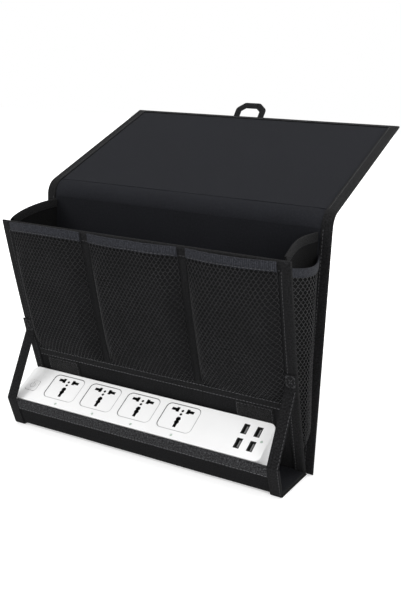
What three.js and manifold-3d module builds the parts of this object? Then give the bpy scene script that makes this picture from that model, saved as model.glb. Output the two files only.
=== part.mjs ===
// Bedside caddy: a stiffened cloth organizer that hangs on the side of a bed.
//
// A stiffened flap slides under the mattress and folds at a soft cloth strip into the
// back panel. A bowed front panel and two cloth gussets close the main pocket. The front
// panel carries three net pockets, each gusset one more. Below, a tray with a leaning
// front wall hangs from two side straps and holds a mains strip with sockets, USB ports
// and a power button.
//
// Frame: +X to the viewer's right, +Y towards the bed, +Z up. The origin is the middle of
// the back panel's rear face. All sizes are in millimetres.

import * as THREE from 'three';
import { mergeVertices } from 'three/addons/utils/BufferGeometryUtils.js';
import Module from 'manifold-3d';

// Driving dimensions: the whole caddy
const panelWidth = 300;
const panelHeight = 232;
const flapLength = 176;
const flapTilt = THREE.MathUtils.degToRad(23.3);
const foldRadius = 15;

// Cloth, stiffener and tape
const clothThick = 0.6;
const boardThick = 2;
const tapeThick = 0.6;
const tapeWidth = 10;
const layerGap = 0.2;
const seatGap = 0.3;
const boardInset = 6;
const edgePinch = 1;
const cutOverrun = 4;

// Front panel
const frontSideInset = 5;
const frontTopReach = 71.5;
const frontTopDrop = 26.6;
const frontFootReach = 6.5;
const frontBow = 2.5;
const frontSteps = 10;

// Net pockets on the front panel
const pocketSeamRise = 76;
const pocketDividerShares = [-0.17, 0.16];
const pocketStand = 10;
const pocketSideRun = 14;
const pocketFootRun = 30;
const dividerWidth = 8;
const seamTapeWidth = 9;
const netThick = 0.8;
const netColumns = 5;
const netRows = 7;
const netStrandShare = 0.3;
const bandHeight = 12;
const bandThick = 1.4;
const bandColumns = 12;

// Hook and loop patches
const patchWidth = 37;
const patchHeight = 25;
const patchThick = 1.2;
const patchCentreShares = [-0.357, 0.34];
const hookHeight = 9;
const hookFootRise = 5;

// Gussets and their side pockets
const gussetInset = 12;
const gussetClothThick = 0.8;
const gussetArchRise = 12;
const gussetArchPower = 3;
const gussetSteps = 12;
const gussetTapeWidth = 8;
const sideNetFootRise = 22;
const sideBandTopDrop = 6.4;
const sideBandHeight = 8;
const sidePocketStand = 8;
const sideNetColumns = 2;
const sideNetRows = 8;

// Tray and straps
const traySideInset = 1;
const lipHeight = 27.5;
const wallLean = 11;
const trayBackGap = 0.8;
const strapWidth = 11;
const strapThick = 0.9;
const strapTopRise = 93;
const strapLipRise = 2.5;
const strapSewnLength = 14;

// Hanging loop on the flap's far edge
const loopCentreShare = -0.05;
const loopSpan = 30;
const loopRise = 23;
const loopBend = THREE.MathUtils.degToRad(30);
const loopTopSpan = 16;
const loopShoulderShare = 0.67;
const loopWebbing = 6;
const loopThick = 1.4;
const loopSewnLength = 8;

// Mains strip
const stripLeftGap = 1;
const stripRightGap = 20;
const stripFaceWidth = 41.5;
const stripFaceTilt = THREE.MathUtils.degToRad(32);
const stripDepth = 29.3;
const stripFrontDraft = THREE.MathUtils.degToRad(3);
const stripBackDraft = THREE.MathUtils.degToRad(12);
const stripCornerRadius = 6;
const cornerCutShare = 0.33;
const stripEdgeRound = 0.8;
const stripLidThick = 3;
const stripWall = 1.8;
const stripLipDrop = 0.5;
const stripBackGap = 1.81;

// Socket inserts
const socketCount = 4;
const socketPitch = 43.2;
const socketRowShare = 0.209;
const socketWidth = 35;
const socketDepth = 10;
const socketRadius = 5;
const socketFaceSink = 0.4;
const socketFootMargin = 9.3;
const socketTopMargin = 4.1;
const slotDepth = 8;
const slotWidth = 2.2;
const slotLength = 6.8;
const slotCrossLength = 4.4;
const slotPinRadius = 1.9;
const slotPitch = 15.4;
const slotRise = 8.6;
const longSlotLength = 11;
const longSlotDrop = 4.8;
const shutterDotRadius = 0.9;
const shutterDotDepth = 2;
const shutterDotRise = 6.1;
const shutterDotPitch = 3.9;

// USB ports
const usbEndMargin = 12.6;
const usbColumnPitch = 12.7;
const usbRowShares = [0.32, 0.7];
const usbShellWidth = 5;
const usbShellHeight = 10.4;
const usbShellThick = 0.6;
const usbDepth = 13;
const usbTongueWidth = 1.4;
const usbTongueHeight = 7.4;
const usbTongueSink = 1.2;
const usbTongueOffset = 0.7;
const usbBoardMargin = 4;
const circuitThick = 1.4;

// Power button, switch and indicator lights
const buttonEndMargin = 12.1;
const buttonRiseShare = 0.436;
const buttonSize = 12.5;
const buttonRadius = 2.5;
const buttonHeight = 4.5;
const buttonTravel = 1.5;
const buttonStemRadius = 2;
const buttonStemLength = 4;
const switchSize = 15;
const switchDepth = 11;
const lightRadius = 1.1;
const lightRise = 3.9;
const lightShift = 2.2;
const usbLightEndMargin = 5.9;
const usbLightRiseShare = 0.489;
const lightBoardSink = 5;
const lightBoardMargin = 1.3;

// Busbars, ribs of the strip's base and the cord's gland
const busbarWidth = 5;
const busbarThick = 0.8;
const busbarPitchShare = 17 / 53;
const busbarOverhang = 8;
const ribThick = 2;
const ribCount = 3;
const glandFlangeRadius = 6.5;
const glandNeckRadius = 4.8;
const glandFlangeThick = 2.5;
const glandBoreRadius = 3.7;
const glandBoreDepth = 1.8;
const glandDepthShare = 0.42;
const glandRiseShare = 0.45;

// Sides of small round holes and posts, and how near two points are one
const smallSides = 8;
const pinSides = 10;
const glandSides = 20;
const mergeReach = 1e-4;

// Worked out from the driving dimensions
const panelThick = 2 * clothThick + boardThick + 2 * layerGap;
const halfPanel = panelThick / 2;
const halfEdge = halfPanel - edgePinch;
const halfBoard = boardThick / 2;
const tapeReach = layerGap + tapeThick;
const bottomZ = -panelHeight / 2;
const foldZ = panelHeight / 2;
const midY = -halfPanel;
const foldTurn = Math.PI / 2 - flapTilt;
const foldTangent = foldRadius * Math.tan(foldTurn / 2);
const backTopZ = foldZ - foldTangent - seatGap;
const backFaceY = -panelThick;
const coverHalfWidth = panelWidth / 2 - tapeReach;
const fieldHalfWidth = panelWidth / 2 - tapeWidth - seatGap;
const boardHalfWidth = fieldHalfWidth - clothThick - seatGap;
const frontWidth = panelWidth - 2 * frontSideInset;
const frontTopHeight = panelHeight - frontTopDrop;
const trayWidth = frontWidth - 2 * traySideInset;
const stripLength = trayWidth - stripLeftGap - stripRightGap;
const socketHeight = stripFaceWidth - socketFootMargin - socketTopMargin;
const pocketDividers = pocketDividerShares.map((share) => share * panelWidth);
const patchCentres = patchCentreShares.map((share) => share * panelWidth);

const wasm = await Module();
wasm.setup();

// Materials
const paint = (color, roughness, metalness = 0) =>
  new THREE.MeshStandardMaterial({ color, roughness, metalness });
const clothPaint = paint(0x1d1e21, 0.88);
const liningPaint = paint(0x232428, 0.9);
const stiffenerPaint = paint(0x55514b, 0.8);
const tapePaint = paint(0x121316, 0.8);
const netPaint = paint(0x15161a, 0.75);
const elasticPaint = paint(0x17181b, 0.85);
const hookPaint = paint(0x1b1c1f, 0.95);
const shellPaint = paint(0xf2f3f4, 0.35);
const socketPaint = paint(0xeceded, 0.4);
const usbPaint = paint(0x2a2b2d, 0.4, 0.6);
const buttonPaint = paint(0xeff0f1, 0.4);
const lightPaint = paint(0x59b07a, 0.3);
const circuitPaint = paint(0x2c6b45, 0.5);
const brassPaint = paint(0xb08a45, 0.4, 1);
const glandPaint = paint(0xd9dadb, 0.6);

// Solids and booleans
function toSolid(geometry) {
  const bare = geometry.clone();
  bare.deleteAttribute('normal');
  bare.deleteAttribute('uv');
  const merged = mergeVertices(bare, mergeReach);
  const mesh = new wasm.Mesh({
    numProp: 3,
    vertProperties: new Float32Array(merged.attributes.position.array),
    triVerts: new Uint32Array(merged.index.array),
  });
  mesh.merge();
  return new wasm.Manifold(mesh);
}

function toGeometry(solid) {
  const mesh = solid.getMesh();
  const geometry = new THREE.BufferGeometry();
  geometry.setAttribute('position', new THREE.BufferAttribute(mesh.vertProperties, 3));
  geometry.setIndex(new THREE.BufferAttribute(mesh.triVerts, 1));
  return geometry;
}

function cut(body, ...tools) {
  return toGeometry(tools.reduce((left, tool) => left.subtract(toSolid(tool)), toSolid(body)));
}

function join(body, ...others) {
  return toGeometry(others.reduce((whole, other) => whole.add(toSolid(other)), toSolid(body)));
}

function common(body, other) {
  return toGeometry(toSolid(body).intersect(toSolid(other)));
}

// Prisms: an outline in one plane, extruded along the third axis
const yAxis = new THREE.Vector3(0, 1, 0);
const zAxis = new THREE.Vector3(0, 0, 1);
const xAxis = new THREE.Vector3(1, 0, 0);
const outlineToX = new THREE.Matrix4().makeBasis(yAxis, zAxis, xAxis);
const outlineToY = new THREE.Matrix4().makeBasis(xAxis, zAxis, yAxis.clone().negate());

function prism(outline, depth, holes = []) {
  const shape = new THREE.Shape(outline);
  shape.holes = holes.map((hole) => new THREE.Path(hole));
  return new THREE.ExtrudeGeometry(shape, { depth, bevelEnabled: false });
}

// An outline of (y, z) points, from x0 to x1
function prismX(outline, x0, x1) {
  return prism(outline, x1 - x0).applyMatrix4(outlineToX).translate(x0, 0, 0);
}

// An outline of (x, z) points, from y0 to y1
function prismY(outline, y0, y1) {
  return prism(outline, y1 - y0).applyMatrix4(outlineToY).translate(0, y1, 0);
}

// An outline of (x, y) points, from z0 to z1
function prismZ(outline, z0, z1, holes = []) {
  return prism(outline, z1 - z0, holes).translate(0, 0, z0);
}

function point(a, b) {
  return new THREE.Vector2(a, b);
}

function rectangle(a0, b0, a1, b1) {
  return [point(a0, b0), point(a1, b0), point(a1, b1), point(a0, b1)];
}

// A rectangle about (a, b) with round corners
function roundRectangle(a, b, width, height, radius, segments = 5) {
  const path = new THREE.Path();
  const right = a + width / 2 - radius;
  const top = b + height / 2 - radius;
  const left = a - width / 2 + radius;
  const bottom = b - height / 2 + radius;
  const quarter = Math.PI / 2;
  path.absarc(right, bottom, radius, -quarter, 0, false);
  path.absarc(right, top, radius, 0, quarter, false);
  path.absarc(left, top, radius, quarter, 2 * quarter, false);
  path.absarc(left, bottom, radius, 2 * quarter, 3 * quarter, false);
  const corners = path.getPoints(segments);
  return corners.filter((corner, i) => i === 0 || corner.distanceTo(corners[i - 1]) > mergeReach);
}

function disc(a, b, radius, sides = 12) {
  const turn = (2 * Math.PI) / sides;
  const place = (_, i) => point(a + radius * Math.cos(i * turn), b + radius * Math.sin(i * turn));
  return Array.from({ length: sides }, place);
}

// A path moved sideways, to its left for a positive offset, with mitred corners
function offsetPath(path, offset) {
  const leftOf = (from, to) => {
    const run = to.clone().sub(from).normalize();
    return point(-run.y, run.x);
  };
  return path.map((here, i) => {
    const before = i > 0 ? leftOf(path[i - 1], here) : leftOf(here, path[i + 1]);
    const after = i < path.length - 1 ? leftOf(here, path[i + 1]) : before;
    const mitre = before.clone().add(after).normalize();
    return here.clone().addScaledVector(mitre, offset / mitre.dot(before));
  });
}

// The outline between two offsets of one path: the section of a bent sheet
function sheetSection(path, inner, outer) {
  return [...offsetPath(path, outer), ...offsetPath(path, inner).reverse()];
}

// A U of tape over the end of a sheet that runs along path to its last point
function tapeSection(path, width, halfSheet) {
  const end = path[path.length - 1];
  const run = end.clone().sub(path[path.length - 2]).normalize();
  const side = point(-run.y, run.x);
  const at = (along, across) =>
    end.clone().addScaledVector(run, along).addScaledVector(side, across);
  const inner = halfSheet + layerGap;
  const outer = halfSheet + tapeReach;
  return [
    at(-width, outer), at(-width, inner), at(layerGap, inner), at(layerGap, -inner),
    at(-width, -inner), at(-width, -outer), at(tapeReach, -outer), at(tapeReach, outer),
  ];
}

// A closed cloth or net between two faces. place(a, b, side) gives the point at shares a
// and b of its width and height, on the inner (0) or outer (1) face. With a strand share,
// every second lattice point inside is the middle of a diamond gap.
function clothSheet(columns, rows, place, strandShare = 1) {
  const positions = [];
  const index = [];
  const known = new Map();
  const vertex = (i, j, side) => {
    const key = `${i.toFixed(3)} ${j.toFixed(3)} ${side}`;
    if (!known.has(key)) {
      known.set(key, positions.length / 3);
      positions.push(...place(i / columns, j / rows, side).toArray());
    }
    return known.get(key);
  };
  const fan = (corners, side) => {
    const ids = corners.map(([i, j]) => vertex(i, j, side));
    for (let k = 1; k < ids.length - 1; k += 1) {
      index.push(ids[0], ids[k + side], ids[k + 1 - side]);
    }
  };
  const wall = (from, to) => {
    const [a, b] = [vertex(...from, 0), vertex(...to, 0)];
    const [c, d] = [vertex(...to, 1), vertex(...from, 1)];
    index.push(a, c, b, a, d, c);
  };
  const reach = 1 - strandShare;
  const isGap = (i, j) =>
    reach > 0 && (i + j) % 2 === 1 && i > 0 && j > 0 && i < columns && j < rows;
  const corner = (i, j, di, dj) => (isGap(i, j)
    ? [[i + di * reach, j], [i, j + dj * reach]]
    : [[i, j]]);
  for (let i = 0; i < columns; i += 1) {
    for (let j = 0; j < rows; j += 1) {
      const outline = [
        ...corner(i, j, 1, 1).reverse(), ...corner(i + 1, j, -1, 1),
        ...corner(i + 1, j + 1, -1, -1).reverse(), ...corner(i, j + 1, 1, -1),
      ];
      fan(outline, 0);
      fan(outline, 1);
    }
  }
  for (let i = 1; i < columns; i += 1) {
    for (let j = 1; j < rows; j += 1) {
      if (isGap(i, j)) {
        const tips = [[i + reach, j], [i, j + reach], [i - reach, j], [i, j - reach]];
        tips.forEach((tip, k) => wall(tips[(k + 1) % 4], tip));
      }
    }
  }
  for (let i = 0; i < columns; i += 1) {
    wall([i, 0], [i + 1, 0]);
    wall([i + 1, rows], [i, rows]);
  }
  for (let j = 0; j < rows; j += 1) {
    wall([columns, j], [columns, j + 1]);
    wall([0, j + 1], [0, j]);
  }
  const geometry = new THREE.BufferGeometry();
  geometry.setAttribute('position', new THREE.Float32BufferAttribute(positions, 3));
  geometry.setIndex(index);
  return facingOut(geometry);
}

// Turns a closed geometry the right way out, by the sign of its volume
function facingOut(geometry) {
  const at = geometry.attributes.position;
  const ids = geometry.index.array;
  const [a, b, c] = [new THREE.Vector3(), new THREE.Vector3(), new THREE.Vector3()];
  let volume = 0;
  for (let k = 0; k < ids.length; k += 3) {
    a.fromBufferAttribute(at, ids[k]);
    b.fromBufferAttribute(at, ids[k + 1]);
    c.fromBufferAttribute(at, ids[k + 2]);
    volume += a.dot(b.cross(c));
  }
  if (volume < 0) {
    for (let k = 0; k < ids.length; k += 3) {
      [ids[k + 1], ids[k + 2]] = [ids[k + 2], ids[k + 1]];
    }
  }
  return geometry;
}

const caddy = new THREE.Group();

function addPiece(parent, name, geometry, material) {
  const mesh = new THREE.Mesh(geometry, material);
  mesh.name = name;
  parent.add(mesh);
  return mesh;
}

// A share that climbs smoothly from 0 to 1 over the first part of a run
function rise(distance, run) {
  const share = Math.min(1, Math.max(0, distance / run));
  return Math.sin((share * Math.PI) / 2);
}

// A panel's cover: a raised field over the stiffener, drawn in to the bound edge all round.
// extrude turns an outline and two levels into a solid, and side is the cover's side of the
// panel's middle level
function panelCover(extrude, middle, side, edge, field, hollow) {
  const layer = (outline, low, high) => {
    const levels = [middle + side * low, middle + side * high].sort((a, b) => a - b);
    return extrude(outline, ...levels);
  };
  const low = halfEdge - clothThick;
  const whole = join(layer(edge, low, halfEdge), layer(field, low, halfPanel));
  return cut(whole, layer(hollow, low - cutOverrun, halfPanel - clothThick));
}

// Back panel: two cloth covers, a stiffener and a bound edge
function addBackPanel() {
  const half = coverHalfWidth;
  const edgeFoot = bottomZ + tapeReach;
  const fieldFoot = bottomZ + tapeWidth + seatGap;
  const hollowHalf = fieldHalfWidth - clothThick;
  const outlines = [
    rectangle(-half, edgeFoot, half, backTopZ),
    rectangle(-fieldHalfWidth, fieldFoot, fieldHalfWidth, backTopZ),
    rectangle(-hollowHalf, fieldFoot + clothThick, hollowHalf, backTopZ + cutOverrun),
  ];
  addPiece(caddy, 'back_cover_outer', panelCover(prismY, midY, 1, ...outlines), clothPaint);
  addPiece(caddy, 'back_cover_inner', panelCover(prismY, midY, -1, ...outlines), liningPaint);
  const board = rectangle(
    -boardHalfWidth, fieldFoot + clothThick + seatGap, boardHalfWidth, backTopZ - seatGap,
  );
  addPiece(caddy, 'back_board', prismY(board, midY - halfBoard, midY + halfBoard), stiffenerPaint);

  const edge = panelWidth / 2;
  const reach = halfEdge + tapeReach;
  const inReach = halfEdge + layerGap;
  const outer = prismY(rectangle(-edge, bottomZ, edge, backTopZ), midY - reach, midY + reach);
  const inEdge = edge - tapeThick;
  const slot = prismY(
    rectangle(-inEdge, bottomZ + tapeThick, inEdge, backTopZ + cutOverrun),
    midY - inReach, midY + inReach,
  );
  const inset = edge - tapeWidth;
  const window = prismY(
    rectangle(-inset, bottomZ + tapeWidth, inset, backTopZ + cutOverrun),
    midY - reach - cutOverrun, midY + reach + cutOverrun,
  );
  addPiece(caddy, 'back_binding', cut(outer, slot, window), tapePaint);
}

// Flap: built flat in its own frame, with y along the flap and z off its upper face
function addFlap() {
  const flap = new THREE.Group();
  flap.position.set(0, midY, foldZ);
  flap.rotation.x = flapTilt;
  caddy.add(flap);

  const near = foldTangent + seatGap;
  const far = flapLength - tapeReach;
  const half = coverHalfWidth;
  const fieldFar = flapLength - tapeWidth / 2 - seatGap;
  const hollowHalf = fieldHalfWidth - clothThick;
  const outlines = [
    rectangle(-half, near, half, far),
    rectangle(-fieldHalfWidth, near, fieldHalfWidth, fieldFar),
    rectangle(-hollowHalf, near - cutOverrun, hollowHalf, fieldFar - clothThick),
  ];
  addPiece(flap, 'flap_cover_top', panelCover(prismZ, 0, 1, ...outlines), clothPaint);
  addPiece(flap, 'flap_cover_under', panelCover(prismZ, 0, -1, ...outlines), liningPaint);
  const board = rectangle(
    -boardHalfWidth, near + seatGap, boardHalfWidth, fieldFar - clothThick - seatGap,
  );
  addPiece(flap, 'flap_board', prismZ(board, -halfBoard, halfBoard), stiffenerPaint);

  const edge = panelWidth / 2;
  const reach = halfEdge + tapeReach;
  const outer = prismZ(rectangle(-edge, near, edge, flapLength), -reach, reach);
  const inEdge = edge - tapeThick;
  const inReach = reach - tapeThick;
  const slot = prismZ(
    rectangle(-inEdge, near - cutOverrun, inEdge, flapLength - tapeThick), -inReach, inReach,
  );
  const inset = edge - tapeWidth;
  const window = prismZ(
    rectangle(-inset, near - cutOverrun, inset, flapLength - tapeWidth / 2),
    -reach - cutOverrun, reach + cutOverrun,
  );
  addPiece(flap, 'flap_binding', cut(outer, slot, window), tapePaint);

  addHangingLoop(flap, halfPanel + seatGap);
}

// Webbing loop, sewn under the flap's far edge, its corners folded. Past the edge it is bent
// up by a fixed angle.
function addHangingLoop(flap, sewnDrop) {
  const legX = loopSpan / 2;
  const topX = loopTopSpan / 2;
  const shoulder = loopRise * loopShoulderShare;
  const path = [
    point(-legX, -loopSewnLength), point(-legX, 0), point(-(legX + topX) / 2, shoulder),
    point(-topX, loopRise), point(topX, loopRise), point((legX + topX) / 2, shoulder),
    point(legX, 0), point(legX, -loopSewnLength),
  ];
  const edges = [offsetPath(path, -loopWebbing / 2), offsetPath(path, loopWebbing / 2)];
  const bend = new THREE.Matrix4().makeRotationX(loopBend);
  const loop = clothSheet(path.length - 1, 1, (a, b, side) => {
    const i = Math.round(a * (path.length - 1));
    const across = edges[0][i].clone().lerp(edges[1][i], b);
    const spot = new THREE.Vector3(across.x, across.y, (side - 1) * loopThick);
    return path[i].y > 0 ? spot.applyMatrix4(bend) : spot;
  });
  const mesh = addPiece(flap, 'hanging_loop', loop, tapePaint);
  mesh.position.set(loopCentreShare * panelWidth, flapLength, -sewnDrop);
}

// Soft strip of cloth that joins the back panel to the flap round the fold
function addFoldStrip() {
  const steps = 8;
  const centre = point(midY + foldRadius, foldZ - foldTangent);
  const path = Array.from({ length: steps + 1 }, (_, i) => {
    const turn = Math.PI - (foldTurn * i) / steps;
    return centre.clone().add(point(foldRadius * Math.cos(turn), foldRadius * Math.sin(turn)));
  });
  const section = sheetSection(path, -clothThick - layerGap / 2, clothThick + layerGap / 2);
  addPiece(caddy, 'fold_strip', prismX(section, -coverHalfWidth, coverHalfWidth), clothPaint);
}

// The front panel's bowed centre line: an arc from its foot to its top
const baseMidZ = bottomZ + strapThick + layerGap + halfPanel;
const frontFoot = point(midY - frontFootReach, baseMidZ + halfPanel + seatGap + tapeReach);
const frontTop = point(midY - frontTopReach, bottomZ + frontTopHeight);
const frontChord = frontTop.clone().sub(frontFoot);
const chordRun = frontChord.clone().normalize();
const chordOut = point(-chordRun.y, chordRun.x);
const bowRadius = ((frontChord.length() / 2) ** 2 + frontBow ** 2) / (2 * frontBow);
const bowHalfTurn = Math.asin(frontChord.length() / 2 / bowRadius);
const bowCentre = frontFoot.clone().add(frontTop).divideScalar(2)
  .addScaledVector(chordOut, frontBow - bowRadius);
const frontLength = 2 * bowHalfTurn * bowRadius;

// The point at a length along the front panel and an offset out of it
function frontAt(along, offset) {
  const turn = along / bowRadius - bowHalfTurn;
  return bowCentre.clone()
    .addScaledVector(chordOut, (bowRadius + offset) * Math.cos(turn))
    .addScaledVector(chordRun, (bowRadius + offset) * Math.sin(turn));
}

// The y of the front panel, at an offset out of it, at height z
function frontYAt(z, offset) {
  return bowCentre.x - Math.sqrt((bowRadius + offset) ** 2 - (z - bowCentre.y) ** 2);
}

// The length along the front panel at which its centre line reaches height z
function frontLengthAt(z) {
  const here = point(frontYAt(z, 0), z).sub(bowCentre);
  return (Math.atan2(here.dot(chordRun), here.dot(chordOut)) + bowHalfTurn) * bowRadius;
}

// The outline of a layer of the front panel, between two lengths and two offsets
function frontSection(from, to, inner, outer, steps = frontSteps) {
  const spots = Array.from({ length: steps + 1 }, (_, i) => from + ((to - from) * i) / steps);
  return [
    ...spots.map((along) => frontAt(along, outer)),
    ...spots.reverse().map((along) => frontAt(along, inner)),
  ];
}

const frontHalf = frontWidth / 2;
const frontFace = halfPanel + layerGap;
const pocketTapeOut = frontFace + tapeThick;
const netSeat = pocketTapeOut + layerGap;
const frontFieldHalf = frontHalf - strapWidth - layerGap;
const pocketSeam = frontLengthAt(bottomZ + pocketSeamRise);
const frontCoverTop = frontLength - tapeReach;

function addFrontPanel() {
  const half = frontHalf - tapeReach;
  const layer = (inner, outer) =>
    prismX(frontSection(0, frontCoverTop, inner, outer), -half, half);
  const cloth = halfPanel - clothThick;
  addPiece(caddy, 'front_cover_outer', layer(cloth, halfPanel), clothPaint);
  addPiece(caddy, 'front_cover_inner', layer(-halfPanel, -cloth), liningPaint);
  const boardHalf = half - boardInset;
  const board = frontSection(seatGap, frontCoverTop - boardInset, -halfBoard, halfBoard);
  addPiece(caddy, 'front_board', prismX(board, -boardHalf, boardHalf), stiffenerPaint);

  const reach = halfPanel + tapeReach;
  const outer = prismX(frontSection(0, frontLength, -reach, reach), -frontHalf, frontHalf);
  const inHalf = frontHalf - tapeThick;
  const slotTop = frontLength - tapeThick;
  const slot = prismX(
    frontSection(-cutOverrun, slotTop, tapeThick - reach, reach - tapeThick), -inHalf, inHalf,
  );
  const windowHalf = frontHalf - tapeWidth;
  const windowReach = reach + cutOverrun;
  const window = prismX(
    frontSection(-cutOverrun, frontLength - tapeWidth, -windowReach, windowReach),
    -windowHalf, windowHalf,
  );
  addPiece(caddy, 'front_binding', cut(outer, slot, window), tapePaint);
}

// Net pockets: each net stands off the panel between its seams, under an elastic band
function addFrontPockets() {
  const names = ['left', 'middle', 'right'];
  const seams = [-frontFieldHalf, ...pocketDividers, frontFieldHalf];
  const bandFoot = frontLength - bandHeight;
  const netTop = bandFoot - layerGap;
  const netFoot = pocketSeam + layerGap;
  names.forEach((name, k) => {
    const seamLeft = seams[k] + (k > 0 ? dividerWidth / 2 + layerGap : 0);
    const seamRight = seams[k + 1] - (k < names.length - 1 ? dividerWidth / 2 + layerGap : 0);
    const width = seamRight - seamLeft;
    const stand = (x, along) => {
      const toSeam = Math.min(x - seamLeft, seamRight - x);
      return pocketStand * rise(toSeam, pocketSideRun) * rise(along - netFoot, pocketFootRun);
    };
    const placeIn = (low, high, thick) => (a, b, side) => {
      const x = seamLeft + a * width;
      const along = low + b * (high - low);
      const spot = frontAt(along, netSeat + stand(x, along) + side * thick);
      return new THREE.Vector3(x, spot.x, spot.y);
    };
    const net = clothSheet(
      2 * netColumns, 2 * netRows, placeIn(netFoot, netTop, netThick), netStrandShare,
    );
    addPiece(caddy, `pocket_net_${name}`, net, netPaint);
    const band = clothSheet(bandColumns, 1, placeIn(bandFoot, frontLength, bandThick));
    addPiece(caddy, `pocket_band_${name}`, band, elasticPaint);
  });

  const dividerTop = frontLength - tapeWidth - layerGap;
  const divider = frontSection(netFoot, dividerTop, frontFace, pocketTapeOut);
  ['left', 'right'].forEach((name, k) => {
    const x = pocketDividers[k];
    const tape = prismX(divider, x - dividerWidth / 2, x + dividerWidth / 2);
    addPiece(caddy, `pocket_divider_${name}`, tape, tapePaint);
  });
  const seamTape = frontSection(
    pocketSeam - seamTapeWidth, pocketSeam, frontFace, pocketTapeOut, 1,
  );
  addPiece(caddy, 'pocket_seam_tape', prismX(seamTape, -frontFieldHalf, frontFieldHalf), tapePaint);
}

function addPatchPair(kind, section) {
  ['left', 'right'].forEach((name, k) => {
    const middle = patchCentres[k];
    const patch = prismX(section, middle - patchWidth / 2, middle + patchWidth / 2);
    addPiece(caddy, `${kind}_${name}`, patch, hookPaint);
  });
}

// Loop patches below the pockets, on the front panel
function addLoopPatches() {
  const top = pocketSeam - seamTapeWidth - layerGap;
  const section = frontSection(top - patchHeight, top, frontFace, frontFace + patchThick, 2);
  addPatchPair('loop_patch', section);
}

// The tray's wall leans out from its foot to the lip. The strip's near corner sits at the lip,
// and its far corner just clears the front panel, which says how far out the lip is
const wallRun = point(-wallLean, lipHeight).normalize();
const wallIn = point(wallRun.y, -wallRun.x);
const stripSeat = point(seatGap, -stripLipDrop)
  .addScaledVector(wallIn, strapThick + layerGap + panelThick + tapeReach)
  .addScaledVector(wallRun, tapeReach);
const stripNearZ = bottomZ + lipHeight + stripSeat.y;
const stripFarZ = stripNearZ + stripFaceWidth * Math.sin(stripFaceTilt);
const stripFarY = frontYAt(stripFarZ, halfPanel + tapeReach) - stripBackGap;
const stripNearY = stripFarY - stripFaceWidth * Math.cos(stripFaceTilt);
const lipY = stripNearY - stripSeat.x;

// Tray: an L of cloth over two boards, from the back panel's foot to the lip
const trayOuter = [
  point(backFaceY - trayBackGap, bottomZ),
  point(lipY + wallLean, bottomZ),
  point(lipY, bottomZ + lipHeight),
];
const trayMid = offsetPath(trayOuter, -strapThick - layerGap - halfPanel);
const lipCentre = trayMid[2];

function addTray() {
  const half = trayWidth / 2;
  const cloth = halfPanel - clothThick;
  const clothEnd = lipCentre.clone().addScaledVector(wallRun, -2 * seatGap);
  const path = [trayMid[0], trayMid[1], clothEnd];
  const outer = sheetSection(path, cloth, halfPanel);
  const inner = sheetSection(path, -halfPanel, -cloth);
  addPiece(caddy, 'tray_cover_outer', prismX(outer, -half, half), clothPaint);
  addPiece(caddy, 'tray_cover_inner', prismX(inner, -half, half), liningPaint);

  const boardHalf = half - boardInset / 2;
  const corner = trayMid[1];
  const baseEnd = point(corner.x + boardThick, corner.y);
  const base = sheetSection(
    [point(trayMid[0].x - seatGap, corner.y), baseEnd], -halfBoard, halfBoard,
  );
  addPiece(caddy, 'tray_base_board', prismX(base, -boardHalf, boardHalf), stiffenerPaint);
  const wallFoot = corner.clone().addScaledVector(wallRun, boardThick);
  const wall = sheetSection([wallFoot, clothEnd], -halfBoard, halfBoard);
  addPiece(caddy, 'tray_wall_board', prismX(wall, -boardHalf, boardHalf), stiffenerPaint);

  const tapeHalf = frontHalf - strapWidth - layerGap;
  const lip = tapeSection([corner, lipCentre], tapeWidth, halfPanel);
  addPiece(caddy, 'tray_lip_tape', prismX(lip, -tapeHalf, tapeHalf), tapePaint);

  const seat = halfPanel + layerGap;
  const hookFoot = corner.clone().addScaledVector(wallRun, hookFootRise + halfPanel);
  const hookTop = hookFoot.clone().addScaledVector(wallRun, hookHeight);
  const hook = sheetSection([hookFoot, hookTop], -seat - patchThick, -seat);
  addPatchPair('hook_patch', hook);
}

// Side straps: one tape a side, under the base, up the wall and on to the front panel
function addStraps() {
  const sewnOffset = halfPanel + tapeReach + layerGap + strapThick;
  const foot = frontLengthAt(bottomZ + strapTopRise);
  const bend = trayOuter[2].clone().addScaledVector(wallRun, strapLipRise);
  const path = [
    trayOuter[0], trayOuter[1], bend,
    frontAt(foot, sewnOffset), frontAt(foot + strapSewnLength, sewnOffset),
  ];
  const section = sheetSection(path, -strapThick, 0);
  addPiece(caddy, 'side_strap_left', prismX(section, -frontHalf, strapWidth - frontHalf), tapePaint);
  addPiece(caddy, 'side_strap_right', prismX(section, frontHalf - strapWidth, frontHalf), tapePaint);
}

// Gussets: a wedge of cloth each side, with an arched, bound top and a net pocket outside
const gussetX = panelWidth / 2 - gussetInset;
const gussetBackY = backFaceY - seatGap;
const gussetFrontOffset = -halfPanel - tapeReach - seatGap;
const gussetFootZ = frontAt(tapeWidth, 0).y;
const gussetFrontTopZ = frontAt(frontLength, gussetFrontOffset).y;

// The gusset's arched top, from the front panel to the back panel
function gussetArch() {
  const frontY = frontYAt(gussetFrontTopZ, gussetFrontOffset);
  return Array.from({ length: gussetSteps + 1 }, (_, i) => {
    const share = i / gussetSteps;
    const y = frontY + share * (gussetBackY - frontY);
    return point(y, gussetFrontTopZ + gussetArchRise * (1 - (1 - share) ** gussetArchPower));
  });
}

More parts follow.
